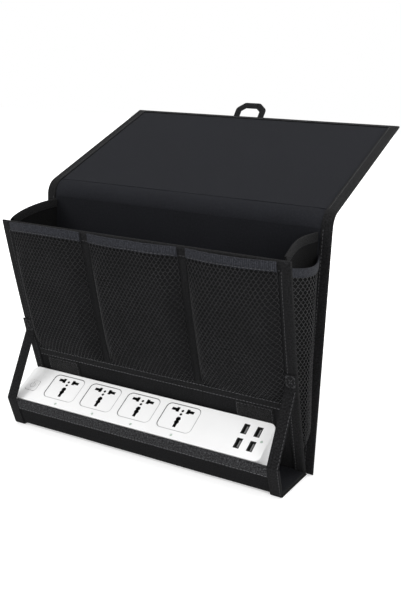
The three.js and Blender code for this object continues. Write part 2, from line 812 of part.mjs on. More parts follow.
function addGusset(name, side) {
  const span = (inner, outer) => (side > 0 ? [inner, outer] : [-outer, -inner]);
  const slope = Array.from({ length: gussetSteps + 1 }, (_, i) => {
    const z = gussetFootZ + ((gussetFrontTopZ - gussetFootZ) * i) / gussetSteps;
    return point(frontYAt(z, gussetFrontOffset), z);
  });
  const arch = gussetArch();
  const outline = [point(gussetBackY, gussetFootZ), ...slope, ...arch.slice(1)];
  const half = gussetClothThick / 2;
  const wedge = prismX(outline, ...span(gussetX - half, gussetX + half));
  addPiece(caddy, `gusset_${name}`, wedge, clothPaint);

  const taped = arch.filter((spot, i) => i > 0 && i < gussetSteps);
  const outerBand = sheetSection(taped, -gussetTapeWidth, tapeReach);
  const innerBand = sheetSection(arch, -gussetTapeWidth - cutOverrun, layerGap);
  const reach = half + tapeReach;
  const inReach = half + layerGap;
  const tape = cut(
    prismX(outerBand, ...span(gussetX - reach, gussetX + reach)),
    prismX(innerBand, ...span(gussetX - inReach, gussetX + inReach)),
  );
  addPiece(caddy, `gusset_tape_${name}`, tape, tapePaint);

  const netFoot = bottomZ + sideNetFootRise;
  const bandTop = frontTop.y - sideBandTopDrop;
  const bandFoot = bandTop - sideBandHeight;
  const seat = gussetX + reach + layerGap;
  const placeIn = (low, high, thick) => (a, b, face) => {
    const z = low + b * (high - low);
    const frontY = frontYAt(z, gussetFrontOffset);
    const y = gussetBackY + a * (frontY - gussetBackY);
    const stand = sidePocketStand * Math.sin(a * Math.PI) * rise(z - netFoot, pocketFootRun);
    return new THREE.Vector3(side * (seat + stand + face * thick), y, z);
  };
  const net = clothSheet(
    2 * sideNetColumns, 2 * sideNetRows,
    placeIn(netFoot, bandFoot - layerGap, netThick), netStrandShare,
  );
  addPiece(caddy, `side_net_${name}`, net, netPaint);
  const band = clothSheet(gussetSteps, 1, placeIn(bandFoot, bandTop, bandThick));
  addPiece(caddy, `side_band_${name}`, band, elasticPaint);
}

// Mains strip: built in its own frame, with y up its face and z off the face
const strip = new THREE.Group();
strip.position.set((stripLeftGap - stripRightGap) / 2, stripNearY, stripNearZ);
strip.rotation.x = stripFaceTilt;
caddy.add(strip);

const stripMidRise = stripFaceWidth / 2;
const socketRise = socketFootMargin + socketHeight / 2;
const stripEnd = stripLength / 2;
const buttonX = buttonEndMargin - stripEnd;
const usbLightX = stripEnd - usbLightEndMargin;
const usbColumns = [stripEnd - usbEndMargin - usbColumnPitch, stripEnd - usbEndMargin];
const usbRows = usbRowShares.map((share) => share * stripFaceWidth);
const usbLightRise = usbLightRiseShare * stripFaceWidth;
const buttonCentreRise = buttonRiseShare * stripFaceWidth;
const usbPlaces = usbColumns.flatMap((x) => usbRows.map((y) => [x, y]));

// The row of sockets lies in the free length between the button and the USB ports
const socketRun = (socketCount - 1) * socketPitch;
const freeStart = buttonX + buttonSize / 2;
const freeEnd = usbColumns[0] - usbShellWidth / 2;
const freeLength = freeEnd - freeStart - socketRun - socketWidth;
const firstSocketX = freeStart + socketRowShare * freeLength + socketWidth / 2;
const socketXs = Array.from({ length: socketCount }, (_, i) => firstSocketX + i * socketPitch);
const lightPlaces = [
  ...socketXs.map((x) => [x + lightShift, lightRise]), [usbLightX, usbLightRise],
];

function stripPlan(grow, radius = stripCornerRadius) {
  return roundRectangle(
    0, stripMidRise, stripLength + 2 * grow, stripFaceWidth + 2 * grow, radius + grow,
  );
}

function addStripLid() {
  const holes = [
    ...socketXs.map((x) => roundRectangle(
      x, socketRise, socketWidth + 2 * seatGap, socketHeight + 2 * seatGap, socketRadius + seatGap,
    )),
    ...usbPlaces.map(([x, y]) => rectangle(
      x - usbShellWidth / 2 - seatGap, y - usbShellHeight / 2 - seatGap,
      x + usbShellWidth / 2 + seatGap, y + usbShellHeight / 2 + seatGap,
    )),
    roundRectangle(
      buttonX, buttonCentreRise, buttonSize + 2 * seatGap, buttonSize + 2 * seatGap,
      buttonRadius + seatGap,
    ),
    ...lightPlaces.map(([x, y]) => disc(x, y, lightRadius + seatGap, smallSides)),
  ];
  const shape = new THREE.Shape(stripPlan(-stripEdgeRound));
  const lid = new THREE.ExtrudeGeometry(shape, {
    depth: stripLidThick,
    bevelThickness: stripEdgeRound,
    bevelSize: stripEdgeRound,
    bevelSegments: 2,
  }).translate(0, 0, -stripLidThick - stripEdgeRound);
  const under = prismZ(
    stripPlan(cutOverrun), -stripLidThick - 2 * cutOverrun, -stripLidThick,
  );
  const drills = holes.map((hole) => prismZ(hole, -stripLidThick - cutOverrun, cutOverrun));
  addPiece(strip, 'strip_lid', cut(lid, under, ...drills), shellPaint);
}

// The base's section: sides that draw in with depth, the bottom edges rounded
function baseSection(wall, top) {
  const low = -stripDepth + wall;
  const front = (z) => wall - z * Math.tan(stripFrontDraft);
  const back = (z) => stripFaceWidth - wall + z * Math.tan(stripBackDraft);
  const round = stripCornerRadius - wall;
  const cornerCut = cornerCutShare * round;
  return [
    point(front(top), top),
    point(front(low + round), low + round),
    point(front(low) + cornerCut, low + cornerCut),
    point(front(low) + round, low),
    point(back(low) - round, low),
    point(back(low) - cornerCut, low + cornerCut),
    point(back(low + round), low + round),
    point(back(top), top),
  ];
}

function addStripBase() {
  const end = stripEnd;
  const top = -stripLidThick - layerGap;
  const hull = common(
    prismX(baseSection(0, top), -end, end), prismZ(stripPlan(0), -stripDepth - cutOverrun, 0),
  );
  const cavity = prismX(baseSection(stripWall, 0), -end + stripWall, end - stripWall);
  const glandHole = prismX(
    disc(glandY, glandZ, glandNeckRadius + layerGap, glandSides), -end - cutOverrun, -end + cutOverrun,
  );
  const ribTop = busbarZ - busbarThick - seatGap;
  const busEnd = socketXs[socketCount - 1];
  const ribs = Array.from({ length: ribCount }, (_, i) => {
    const x = firstSocketX + ((busEnd - firstSocketX) * i) / (ribCount - 1);
    return prismX(baseSection(stripWall / 2, ribTop), x - ribThick / 2, x + ribThick / 2);
  });
  addPiece(strip, 'strip_base', join(cut(hull, cavity, glandHole), ...ribs), shellPaint);
}

// A socket insert: a rounded block with two T slots, a long slot with two pin holes in it, and
// the two small holes of its shutter
function socketInsert(x) {
  const low = -socketFaceSink - slotDepth;
  const block = prismZ(
    roundRectangle(x, socketRise, socketWidth, socketHeight, socketRadius),
    -socketDepth, -socketFaceSink,
  );
  const blade = (dx, dy, width, height) => prismZ(
    rectangle(
      x + dx - width / 2, socketRise + dy - height / 2,
      x + dx + width / 2, socketRise + dy + height / 2,
    ),
    low, cutOverrun,
  );
  const crossPlace = (slotPitch - slotLength + slotWidth) / 2;
  const sideSlots = [-1, 1].map((side) => join(
    blade(side * slotPitch / 2, slotRise, slotLength, slotWidth),
    blade(side * crossPlace, slotRise, slotWidth, slotCrossLength),
  ));
  const pinRise = longSlotLength / 2 - slotPinRadius - longSlotDrop;
  const pins = [pinRise, -longSlotDrop].map((rise) => prismZ(
    disc(x, socketRise + rise, slotPinRadius, pinSides), low, cutOverrun,
  ));
  const longSlot = join(blade(0, -longSlotDrop, slotWidth, longSlotLength), ...pins);
  const dots = [-1, 1].map((side) => prismZ(
    disc(
      x, socketRise + shutterDotRise + side * shutterDotPitch / 2, shutterDotRadius, smallSides,
    ),
    -socketFaceSink - shutterDotDepth, cutOverrun,
  ));
  return cut(block, ...sideSlots, longSlot, ...dots);
}

// A USB port: a thin metal shell, open at the face, with its tongue
function usbPort(x, y) {
  const half = usbShellWidth / 2;
  const tall = usbShellHeight / 2;
  const shell = prismZ(rectangle(x - half, y - tall, x + half, y + tall), -usbDepth, -layerGap);
  const inner = rectangle(
    x - half + usbShellThick, y - tall + usbShellThick,
    x + half - usbShellThick, y + tall - usbShellThick,
  );
  const mouth = prismZ(inner, -usbDepth + usbShellThick, cutOverrun);
  const tongue = prismZ(
    rectangle(
      x + usbTongueOffset - usbTongueWidth / 2, y - usbTongueHeight / 2,
      x + usbTongueOffset + usbTongueWidth / 2, y + usbTongueHeight / 2,
    ),
    -usbDepth + usbShellThick / 2, -usbTongueSink,
  );
  return join(cut(shell, mouth), tongue);
}

function addStripInserts() {
  socketXs.forEach((x, i) => {
    addPiece(strip, `socket_insert_${i + 1}`, socketInsert(x), socketPaint);
  });
  usbPlaces.forEach(([x, y], i) => {
    addPiece(strip, `usb_port_${i + 1}`, usbPort(x, y), usbPaint);
  });
  const [usbLeft, usbRight] = usbColumns;
  const [usbLow, usbHigh] = usbRows;
  const boardTop = -usbDepth - layerGap;
  const usbBoard = prismZ(
    rectangle(
      usbLeft - usbShellWidth / 2 - usbBoardMargin, usbLow - usbShellHeight / 2,
      usbRight + usbShellWidth / 2 + usbBoardMargin, usbHigh + usbShellHeight / 2 - usbBoardMargin,
    ),
    boardTop - circuitThick, boardTop,
  );
  addPiece(strip, 'usb_board', usbBoard, circuitPaint);
}

// Indicator board: a narrow board under the sockets' lights, with a lens post at each
function addIndicatorBoard() {
  const top = -lightBoardSink;
  const low = top - circuitThick;
  const near = lightRise - lightBoardMargin;
  const far = lightRise + lightBoardMargin;
  const start = lightPlaces[0][0] - lightBoardMargin;
  const end = usbLightX + lightBoardMargin;
  const board = prismZ([
    point(start, near), point(end, near), point(end, usbLightRise + lightBoardMargin),
    point(usbLightX - lightBoardMargin, usbLightRise + lightBoardMargin),
    point(usbLightX - lightBoardMargin, far), point(start, far),
  ], low, top);
  const posts = lightPlaces.map(([x, y]) =>
    prismZ(disc(x, y, lightRadius, smallSides), low + circuitThick / 2, -layerGap));
  addPiece(strip, 'indicator_board', join(board, ...posts), lightPaint);
}

// Power button, standing just proud of the lid, and the switch under it
function addButton() {
  const cap = prismZ(
    roundRectangle(buttonX, buttonCentreRise, buttonSize, buttonSize, buttonRadius),
    seatGap - buttonHeight, seatGap,
  );
  const capLow = seatGap - buttonHeight;
  const stem = prismZ(
    disc(buttonX, buttonCentreRise, buttonStemRadius), capLow - buttonStemLength, capLow + seatGap,
  );
  addPiece(strip, 'power_button', join(cap, stem), buttonPaint);

  const top = capLow - buttonTravel - seatGap;
  const half = switchSize / 2;
  const body = prismZ(
    rectangle(
      buttonX - half, buttonCentreRise - half, buttonX + half, buttonCentreRise + half,
    ),
    top - switchDepth, top,
  );
  const well = prismZ(
    disc(buttonX, buttonCentreRise, buttonStemRadius + seatGap),
    capLow - buttonStemLength - buttonTravel - seatGap, top + cutOverrun,
  );
  addPiece(strip, 'switch_body', cut(body, well), tapePaint);
}

// Three busbars under the socket inserts
const busbarZ = -socketDepth - layerGap;

function addBusbars() {
  const names = ['live', 'earth', 'neutral'];
  const start = socketXs[0] - busbarOverhang;
  const end = socketXs[socketCount - 1] + busbarOverhang;
  names.forEach((name, i) => {
    const y = socketRise + (i - 1) * busbarPitchShare * socketHeight;
    const bar = prismZ(
      rectangle(start, y - busbarWidth / 2, end, y + busbarWidth / 2),
      busbarZ - busbarThick, busbarZ,
    );
    addPiece(strip, `${name}_busbar`, bar, brassPaint);
  });
}

// The cord's gland, through the strip's left end wall, its bore left as a shallow seat
const glandY = stripFaceWidth * glandRiseShare;
const glandZ = -stripDepth * glandDepthShare;

function addGland() {
  const neck = stripWall - layerGap;
  const profile = [
    point(0, 0), point(glandNeckRadius, 0), point(glandNeckRadius, neck + layerGap),
    point(glandFlangeRadius, neck + layerGap),
    point(glandFlangeRadius - glandBoreDepth / 2, neck + glandFlangeThick),
    point(glandBoreRadius, neck + glandFlangeThick),
    point(glandBoreRadius, neck + glandFlangeThick - glandBoreDepth),
    point(0, neck + glandFlangeThick - glandBoreDepth),
  ];
  const gland = new THREE.LatheGeometry(profile, glandSides).rotateZ(Math.PI / 2);
  const mesh = addPiece(strip, 'cord_gland', gland, glandPaint);
  mesh.position.set(neck - stripEnd, glandY, glandZ);
}

addBackPanel();
addFlap();
addFoldStrip();
addFrontPanel();
addFrontPockets();
addLoopPatches();
addTray();
addStraps();
addGusset('left', -1);
addGusset('right', 1);
addStripLid();
addStripBase();
addStripInserts();
addIndicatorBoard();
addButton();
addBusbars();
addGland();

export default caddy;
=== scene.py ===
import functools
import math

import bmesh
import bpy
import numpy as np
from mathutils import Matrix, Vector


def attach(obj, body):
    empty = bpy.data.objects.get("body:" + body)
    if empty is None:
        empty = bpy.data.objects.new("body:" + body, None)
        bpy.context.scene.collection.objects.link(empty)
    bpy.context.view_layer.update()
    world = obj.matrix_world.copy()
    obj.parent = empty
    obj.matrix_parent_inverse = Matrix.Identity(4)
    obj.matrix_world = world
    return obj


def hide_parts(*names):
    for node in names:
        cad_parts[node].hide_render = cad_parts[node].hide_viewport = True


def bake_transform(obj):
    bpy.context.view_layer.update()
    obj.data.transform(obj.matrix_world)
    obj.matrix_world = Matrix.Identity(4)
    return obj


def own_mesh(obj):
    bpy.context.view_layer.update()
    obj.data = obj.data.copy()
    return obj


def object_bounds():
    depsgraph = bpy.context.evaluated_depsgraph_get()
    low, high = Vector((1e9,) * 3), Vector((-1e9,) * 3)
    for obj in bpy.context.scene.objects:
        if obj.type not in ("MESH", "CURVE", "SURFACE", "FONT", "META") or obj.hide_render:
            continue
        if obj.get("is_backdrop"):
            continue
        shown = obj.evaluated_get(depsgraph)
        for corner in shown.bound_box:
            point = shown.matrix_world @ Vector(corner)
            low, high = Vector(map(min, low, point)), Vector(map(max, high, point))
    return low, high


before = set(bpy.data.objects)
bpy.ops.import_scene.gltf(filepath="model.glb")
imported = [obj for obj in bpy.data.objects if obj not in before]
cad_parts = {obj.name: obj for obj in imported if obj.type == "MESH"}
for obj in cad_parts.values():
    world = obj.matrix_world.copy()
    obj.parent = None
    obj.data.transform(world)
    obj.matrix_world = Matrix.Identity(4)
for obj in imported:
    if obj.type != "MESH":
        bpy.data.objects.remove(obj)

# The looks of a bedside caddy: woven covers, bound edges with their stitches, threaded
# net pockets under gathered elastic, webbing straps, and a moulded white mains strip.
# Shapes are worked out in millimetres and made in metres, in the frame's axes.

cad_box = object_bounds()
MM = 0.001
SIDES = (("left", -1), ("right", 1))

# Panels, cloth and tape. A crown is half a tape's profile, as distances from its edge and
# shares of its thickness
WIDTH = 300
HEIGHT = 232
PANEL = 3.6
PINCH = 1
FLAP_LENGTH = 176
FLAP_TILT = math.radians(23.3)
FOLD_RADIUS = 15
FOLD_FULL = 1.5
FOLD_CREASE = 0.35
FOLD_THINS_OVER = 6
TAPE = 10
TAPE_THICK = 0.6
TAPE_SWELL = 0.04
TAPE_SWELL_PITCH = 5.3
TAPE_STEP = 8
TAPE_CROWN = [(0, 0), (0, 0.5), (0.4, 0.9), (1, 1)]
TAPE_MIDDLE = 1.12
GAP = 0.2
SEAT = 0.3

# Front panel and its pockets. Gathers have a swell and waves, and a net's sway has the
# share of its height over which it starts
FRONT_WIDTH = 290
FRONT_TOP_REACH = 71.5
FRONT_TOP_HEIGHT = 205.4
FRONT_FOOT_REACH = 6.5
FRONT_BOW = 2.5
POCKET_SEAM_HEIGHT = 76
DIVIDERS = (-51, 48)
DIVIDER_WIDTH = 8
DIVIDER_ROW = 1.4
DIVIDER_ROW_FOOT = 2
SEAM_TAPE = 9
SEAM_ROW = 1.2
POCKET_STAND = 10
POCKET_SIDE_RUN = 14
POCKET_FOOT_RUN = 30
BAND = 9
BAND_THICK = 1.5
BAND_SAGS = (-3.5, -2, -1.5)
BAND_HOLD = 0.45
BAND_HOLD_RUN = 40
BAND_SIDE_RUN = 36
BAND_ROW = 0.85
BAND_GATHERS = (0.18, 1.9)
BAND_STEP = 2.4
NET_SWAY = (0.35, 0.3)

# Hook and loop patches
PATCH_WIDTH = 37
PATCH_HEIGHT = 25
PATCH_THICK = 1.2
PATCH_CENTRES = (-107.1, 102)
PATCH_ROW = 1.6
PAD_EDGE = 0.25
PAD_EDGE_RUN = 2.2
PAD_SWELL = 0.08
HOOK_HEIGHT = 9
HOOK_FOOT = 5
HOOK_ROW = 1.5

# Gussets and the side pockets
GUSSET_X = 138
GUSSET_THICK = 0.8
GUSSET_FOLD = 2.4
GUSSET_SWELL = 0.5
ARCH_RISE = 12
ARCH_POWER = 3
GUSSET_TAPE = 8
SIDE_NET_FOOT = 22
SIDE_BAND_DROP = 6.4
SIDE_BAND = 8
SIDE_BAND_SAG = 3
SIDE_GATHERS = (0.15, 90)
SIDE_STAND = 8
HEM = 3.6
HEM_THICK = 0.6
HEM_STEP_UP = 8
HEM_CROWN = [(0, 0), (0, 0.8), (0.4, 1), (HEM / 2, 1.05)]
LAID_ON = 0.05

# Tray, straps and hanging loop. A strap's profile has levels in place of shares
TRAY_WIDTH = 288
LIP_HEIGHT = 27.5
LIP_REACH = 68.22
LIP_ROW = 0.88
WALL_LEAN = 11
TRAY_BACK_GAP = 0.8
FLOOR_SEAM = (-4.4, -110.45)
FLOOR_SEAM_HALF = (0.76, 0.62)
STRAP = 11
STRAP_THICK = 0.9
STRAP_TOP_HEIGHT = 93
STRAP_LIP_RISE = 2.5
STRAP_SEWN = 14
STRAP_UPPER = [(0, 0), (0.15, 0.3), (0.8, 0.45), (STRAP / 2, 0.5)]
STRAP_LOWER = [(0.15, -0.3), (0.8, -0.42), (STRAP / 2, -0.45)]
STRAP_BOX = (1.6, 1.5)
STRAP_ROW = 1.1
STRAP_ROW_ENDS = (3, 2)
LOOP_X = -15
LOOP_SPAN = 28
LOOP_RISE = 18
LOOP_BEND = math.radians(30)
LOOP_TOP_SPAN = 15
LOOP_SHOULDER = 12.5
LOOP_SEWN = 8
LOOP_STEP = 2.5
WEBBING = 7
WEBBING_THICK = 1.4
WEBBING_EDGE = (0.3, 0.8)

# The mains strip's face: its sockets and ports, and the mark on its button. Places on it
# are (along, up) from its foot. A slot is a box with its half size, or a disc on the middle
# line with its radius, and the painted shade of a socket's seam line or of a slot's rim fades
# between two distances
STRIP_TILT = math.radians(32)
STRIP_FOOT = (-9.5, -64.915, -86.215)
SOCKET_SINK = 0.4
SEAM_FADE = 0.08
SOCKET_FIRST = (-85.894, 23.35)
SOCKET_PITCH = 43.2
SOCKET_COUNT = 4
SOCKET_HALF = (17.6, 14.15)
SOCKET_CORNER = 5.1
SOCKET_SEAM_SHADE = (0.2, 0.65)
SLOT_BOXES = ((7.7, 8.6, 3.4, 1.1), (5.4, 8.6, 1.1, 2.2), (0, -4.8, 1.1, 5.5))
SLOT_DISCS = ((-1.2, 1.9), (-4.8, 1.9), (8.05, 0.9), (4.15, 0.9))
SLOT_SHADE_RIM = (0.3, 0.55)
MOULDED_RISE = (7, 39)
MOULDED_SPAN = (-129, 126)
USB_TONGUE_FIRST = (108.9, 13.28)
USB_TONGUE_PITCH = (12.7, 15.77)
USB_TONGUE_HALF = (0.75, 3.75)
BUTTON_PLACE = (-121.4, 18.094, 0.3)
MARK_RADIUS = 2.7
MARK_WIDTH = 0.35
MARK_LIFT = 0.06
MARK_OPEN = math.radians(35)
MARK_BAR = 2.6

# Thread, nets and stitches
NET_CELL = 3.9
NET_ROW = 2.8
NET_THREAD = 0.27
NET_KNOT_SHARE = 0.36
NET_CLOSE_SHARE = 0.9
NET_WEAVE = 0.1
NET_LIFT = 0.4
STITCH = 2.3
STITCH_PITCH = 3.3
STITCH_WIDTH = 0.26
STITCH_ARCH = ((0, 0.5), (0.8, 1), (0, 0.5))
EDGE_ROW = 0.8

# The camera, as found from the photograph's corners
CAMERA_AZIMUTH = math.radians(28.812)
CAMERA_HEIGHT = math.radians(14.282)
CAMERA_ROLL = math.radians(2.456)
CAMERA_DISTANCE = 804.58
CAMERA_AIM = (0, -1.8, 14)
CAMERA_SLIDE = (24.46, 6.69)
CAMERA_LENS = 51.4
CAMERA_CLIP = (0.05, 30)
SENSOR = 36

# Worked out from the sizes above
HALF = PANEL / 2
TAPE_REACH = GAP + TAPE_THICK
MID_Y = -HALF
BOTTOM = -HEIGHT / 2
FOLD_Z = HEIGHT / 2
FOLD_TURN = math.pi / 2 - FLAP_TILT
FOLD_TANGENT = FOLD_RADIUS * math.tan(FOLD_TURN / 2)
BACK_TOP = FOLD_Z - FOLD_TANGENT - SEAT
EDGE = WIDTH / 2
FRONT_EDGE = FRONT_WIDTH / 2
FIELD_EDGE = FRONT_EDGE - STRAP - GAP
FACE = HALF + GAP
NET_SEAT = FACE + TAPE_THICK + GAP
THIN_REACH = HALF - PINCH + TAPE_REACH
FULL_REACH = HALF + TAPE_REACH
SIDE_SEAT = GUSSET_X + GUSSET_THICK / 2


def unit(v):
    return v / np.linalg.norm(v, axis=-1, keepdims=True)


def smooth(share):
    """A share that climbs softly from 0 to 1."""
    share = np.clip(share, 0, 1)
    return share * share * (3 - 2 * share)


def rise(distance, run):
    """A share that climbs from 0 to 1 over the first part of a run."""
    return np.sin(np.clip(distance / run, 0, 1) * math.pi / 2)


SWELLS = (23, 31, 9.7, 14)


def ripple(u, v, phase):
    """The uneven swell of a cloth, from about -1 to 1, at places in millimetres."""
    a, b, c, d = SWELLS
    broad = np.sin(u / a + phase) * np.cos(v / b - phase)
    fine = np.sin(u / c + 2 * phase + v / d)
    return (2 * broad + fine) / 3


def sagging(share):
    """1 in the middle of a band and 0 at its ends, at a share of its length."""
    return np.sin(np.clip(share, 0, 1) * math.pi)


# Surfaces. Each gives the point at x, a length up the panel and a level out of it
def placed(x, y, z):
    return np.stack(np.broadcast_arrays(x, y, z), -1).astype(float)


def flat_surface(foot, run, out):
    """A flat panel that starts at a foot in (y, z)."""

    def place(x, along, level):
        return placed(x, *(foot[k] + run[k] * along + out[k] * level for k in (0, 1)))

    return place


def round_surface(centre, radius, run, out, start=0):
    """A panel bent to an arc round a centre. It faces out once it has turned by start."""

    def place(x, along, level):
        turn, reach = along / radius - start, radius + level
        way = [out[k] * np.cos(turn) + run[k] * np.sin(turn) for k in (0, 1)]
        return placed(x, *(centre[k] + reach * way[k] for k in (0, 1)))

    return place


def tilted(angle):
    """The directions up a tilted plane and out of it, in (y, z)."""
    return (math.cos(angle), math.sin(angle)), (-math.sin(angle), math.cos(angle))


back_place = flat_surface((MID_Y, 0), (0, 1), (1, 0))
flap_place = flat_surface((MID_Y, FOLD_Z), *tilted(FLAP_TILT))
fold_centre = (MID_Y + FOLD_RADIUS, FOLD_Z - FOLD_TANGENT)
fold_place = round_surface(fold_centre, FOLD_RADIUS, (0, 1), (-1, 0))

# The front panel's bowed middle line, an arc from its foot to its top, in (y, z)
base_top = BOTTOM + STRAP_THICK + GAP + PANEL
front_foot = np.array([MID_Y - FRONT_FOOT_REACH, base_top + SEAT + TAPE_REACH])
front_top = np.array([MID_Y - FRONT_TOP_REACH, BOTTOM + FRONT_TOP_HEIGHT])
chord = np.linalg.norm(front_top - front_foot)
chord_run = (front_top - front_foot) / chord
chord_out = np.array([-chord_run[1], chord_run[0]])
bow_radius = ((chord / 2) ** 2 + FRONT_BOW**2) / (2 * FRONT_BOW)
bow_turn = math.asin(chord / 2 / bow_radius)
bow_centre = (front_foot + front_top) / 2 + chord_out * (FRONT_BOW - bow_radius)
FRONT_LENGTH = 2 * bow_turn * bow_radius
front_place = round_surface(bow_centre, bow_radius, chord_run, chord_out, bow_turn)


def front_y(z, level):
    return bow_centre[0] - np.sqrt((bow_radius + level) ** 2 - (z - bow_centre[1]) ** 2)


def front_length_at(z):
    here = np.array([front_y(z, 0), z]) - bow_centre
    return (math.atan2(here @ chord_run, here @ chord_out) + bow_turn) * bow_radius


POCKET_SEAM = front_length_at(BOTTOM + POCKET_SEAM_HEIGHT)

# The tray's bent path, from the back panel's foot round the corner to the lip, in (y, z)
tray_outer = np.array([
    [-PANEL - TRAY_BACK_GAP, BOTTOM],
    [MID_Y - LIP_REACH + WALL_LEAN, BOTTOM],
    [MID_Y - LIP_REACH, BOTTOM + LIP_HEIGHT],
])
wall_run = unit(tray_outer[2] - tray_outer[1])
wall_out = np.array([-wall_run[1], wall_run[0]])
wall_place = flat_surface(tray_outer[1], wall_run, wall_out)
CORNER_STEPS = 6


def bent_path(corners, radius, step):
    """Points along a path whose corners are rounded, and the direction to its left at each."""
    spots = [corners[0]]
    for before, here, after in zip(corners, corners[1:], corners[2:]):
        into, away = unit(here - before), unit(after - here)
        reach = radius * math.tan(math.acos(np.clip(into @ away, -1, 1)) / 2)
        start, end = here - into * reach, here + away * reach
        for t in np.linspace(0, 1, CORNER_STEPS):
            spots.append((1 - t) ** 2 * start + 2 * t * (1 - t) * here + t**2 * end)
    spots.append(corners[-1])
    full = [spots[0]]
    for before, after in zip(spots, spots[1:]):
        count = max(1, round(np.linalg.norm(after - before) / step))
        full += [before + (after - before) * (i + 1) / count for i in range(count)]
    full = np.array(full)
    run = unit(np.gradient(full, axis=0))
    return full, np.stack([-run[:, 1], run[:, 0]], -1)


# Meshes
SHARP_EDGE = math.radians(50)


class Mesh:
    """A mesh being made: points in millimetres, faces, and each corner's place on the cloth."""

    def __init__(self):
        self.points = []
        self.faces = []
        self.spots = []

    def grid(self, points, closed=False, caps=False):
        """Joins rings of points to each other. Closed rings join their ends, caps fill them."""
        points = np.asarray(points, float)
        rings, count = points.shape[:2]
        start = len(self.points)
        self.points += [tuple(p) for p in points.reshape(-1, 3)]
        ring = np.concatenate([points, points[:, :1]], 1) if closed else points
        across = np.linalg.norm(np.diff(ring, axis=1), axis=2).mean(0)
        along = np.linalg.norm(np.diff(points, axis=0), axis=2).mean(1)
        u, v = (np.concatenate([[0], np.cumsum(lengths)]) for lengths in (across, along))
        for i in range(rings - 1):
            for j in range(count if closed else count - 1):
                k = (j + 1) % count
                low, high = start + i * count, start + (i + 1) * count
                self.faces.append((low + j, low + k, high + k, high + j))
                left, right = u[j], u[j + 1]
                self.spots += [(left, v[i]), (right, v[i]), (right, v[i + 1]), (left, v[i + 1])]
        if caps:
            for base in (start, start + (rings - 1) * count):
                self.faces.append(tuple(range(base, base + count)))
                self.spots += [(0, u[j]) for j in range(count)]
        return self

    def tube(self, rings):
        """A closed, capped tube from the lines that run along it."""
        return self.grid(np.stack(rings, 1), closed=True, caps=True)

    def shell(self, points, thick):
        """A closed sheet of cloth of that thickness, its middle on a grid of points."""
        points = np.asarray(points, float)
        normal = unit(np.cross(np.gradient(points, axis=0), np.gradient(points, axis=1)))
        outer, inner = points + normal * thick / 2, points - normal * thick / 2
        self.grid(np.concatenate([outer, inner[:, ::-1]], 1), closed=True)
        rows, count = points.shape[:2]
        for rows_back in (rows, 1):
            base = len(self.points) - rows_back * 2 * count
            for j in range(count - 1):
                far = base + 2 * count - 1 - j
                self.faces.append((base + j, base + j + 1, far - 1, far))
                self.spots += [(0, 0), (1, 0), (1, 1), (0, 1)]
        return self

    def make(self, name, body, material, slot, node=None, crisp=True):
        """The finished piece, which may stand for a node of the frame."""
        mesh = bpy.data.meshes.new(name)
        mesh.from_pydata((np.array(self.points) * MM).tolist(), [], self.faces)
        mesh.uv_layers.new(name="cloth").data.foreach_set("uv", np.array(self.spots).ravel())
        work = bmesh.new()
        work.from_mesh(mesh)
        bmesh.ops.recalc_face_normals(work, faces=work.faces)
        work.to_mesh(mesh)
        work.free()
        mesh.shade_smooth()
        if crisp:
            mesh.set_sharp_from_angle(angle=SHARP_EDGE)
        mesh.materials.append(material)
        piece = bpy.data.objects.new(name, mesh)
        bpy.context.scene.collection.objects.link(piece)
        if body:
            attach(piece, body)
        if node:
            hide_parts(node)
        return piece


def lines(low, high, step, near_low=(), near_high=()):
    """Evenly spaced values from low to high, with extra ones near either end."""
    count = max(2, round((high - low) / step) + 1)
    extra = [low + d for d in near_low] + [high - d for d in near_high]
    return np.unique(np.round(np.concatenate([np.linspace(low, high, count), extra]), 3))


def mirrored(profile, width):
    """A profile from one edge to the middle, and back down to the other edge."""
    return profile + [(width - across, share) for across, share in reversed(profile[:-1])]


# Bound edges: a U of tape over a panel's edge, described flat as (across, along, level)
def sides_of(corners, inward):
    """An edge's sides, each as its start, its end and the direction inward."""
    corners = [np.array(corner, float) for corner in corners]
    return [
        (a, b, inward * unit(np.array([a[1] - b[1], b[0] - a[0]])))
        for a, b in zip(corners, corners[1:])
    ]


def edge_stations(corners, widths, inward, step):
    """Along an edge with square corners: each place, its inward direction and its tape's width."""
    stations = []
    into_before = leg_before = 0
    for (a, b, into), width in zip(sides_of(corners, inward), widths):
        count = max(1, round(np.linalg.norm(b - a) / step))
        leg = into * width
        stations.append((a, into + into_before, leg + leg_before))
        stations += [(a + (b - a) * i / count, into, leg) for i in range(1, count)]
        into_before, leg_before = into, leg
    stations.append((b, into, leg))
    return (np.array(values) for values in zip(*stations))


def tape_profile(reach):
    """The outside of a folded tape: pairs of (fold depth, share of the leg, level)."""
    inner = reach - TAPE_THICK
    arc = [
        (reach * (1 - math.cos(turn)), 0, reach * math.sin(turn))
        for turn in np.linspace(math.pi / 2, -math.pi / 2, 8)
    ]
    leg = [(0, 1, inner), (0, 1, reach - 0.1 * TAPE_THICK), (0, 0.97, reach), (0, 0.55, reach)]
    return leg + arc + [(d, s, -level) for d, s, level in reversed(leg)]


def bound_edge(place, corners, widths, inward, reach, swell=TAPE_SWELL, step=TAPE_STEP):
    """The folded tape along an edge with square corners."""
    places, folds, legs = edge_stations(corners, widths, inward, step)
    rings = []
    for depth, share, level in tape_profile(reach):
        flat = places + folds * depth + legs * share
        wave = 1 + swell * np.sin(flat.sum(1) / TAPE_SWELL_PITCH) * (share > 0)
        rings.append(place(flat[:, 0], flat[:, 1], level * wave))
    return Mesh().grid(np.stack(rings, 1))


def inset_path(corners, widths, inward, share):
    """The corners of a row of stitches at a share of the tape's width."""
    moves = [side[2] * width * share for side, width in zip(sides_of(corners, inward), widths)]
    return [
        np.array(corner) + before + after
        for corner, before, after in zip(corners, [0, *moves], [*moves, 0])
    ]


def box_path(x, half, low, high):
    """The closed path round a box on a panel."""
    return [(x - half, low), (x + half, low), (x + half, high), (x - half, high), (x - half, low)]


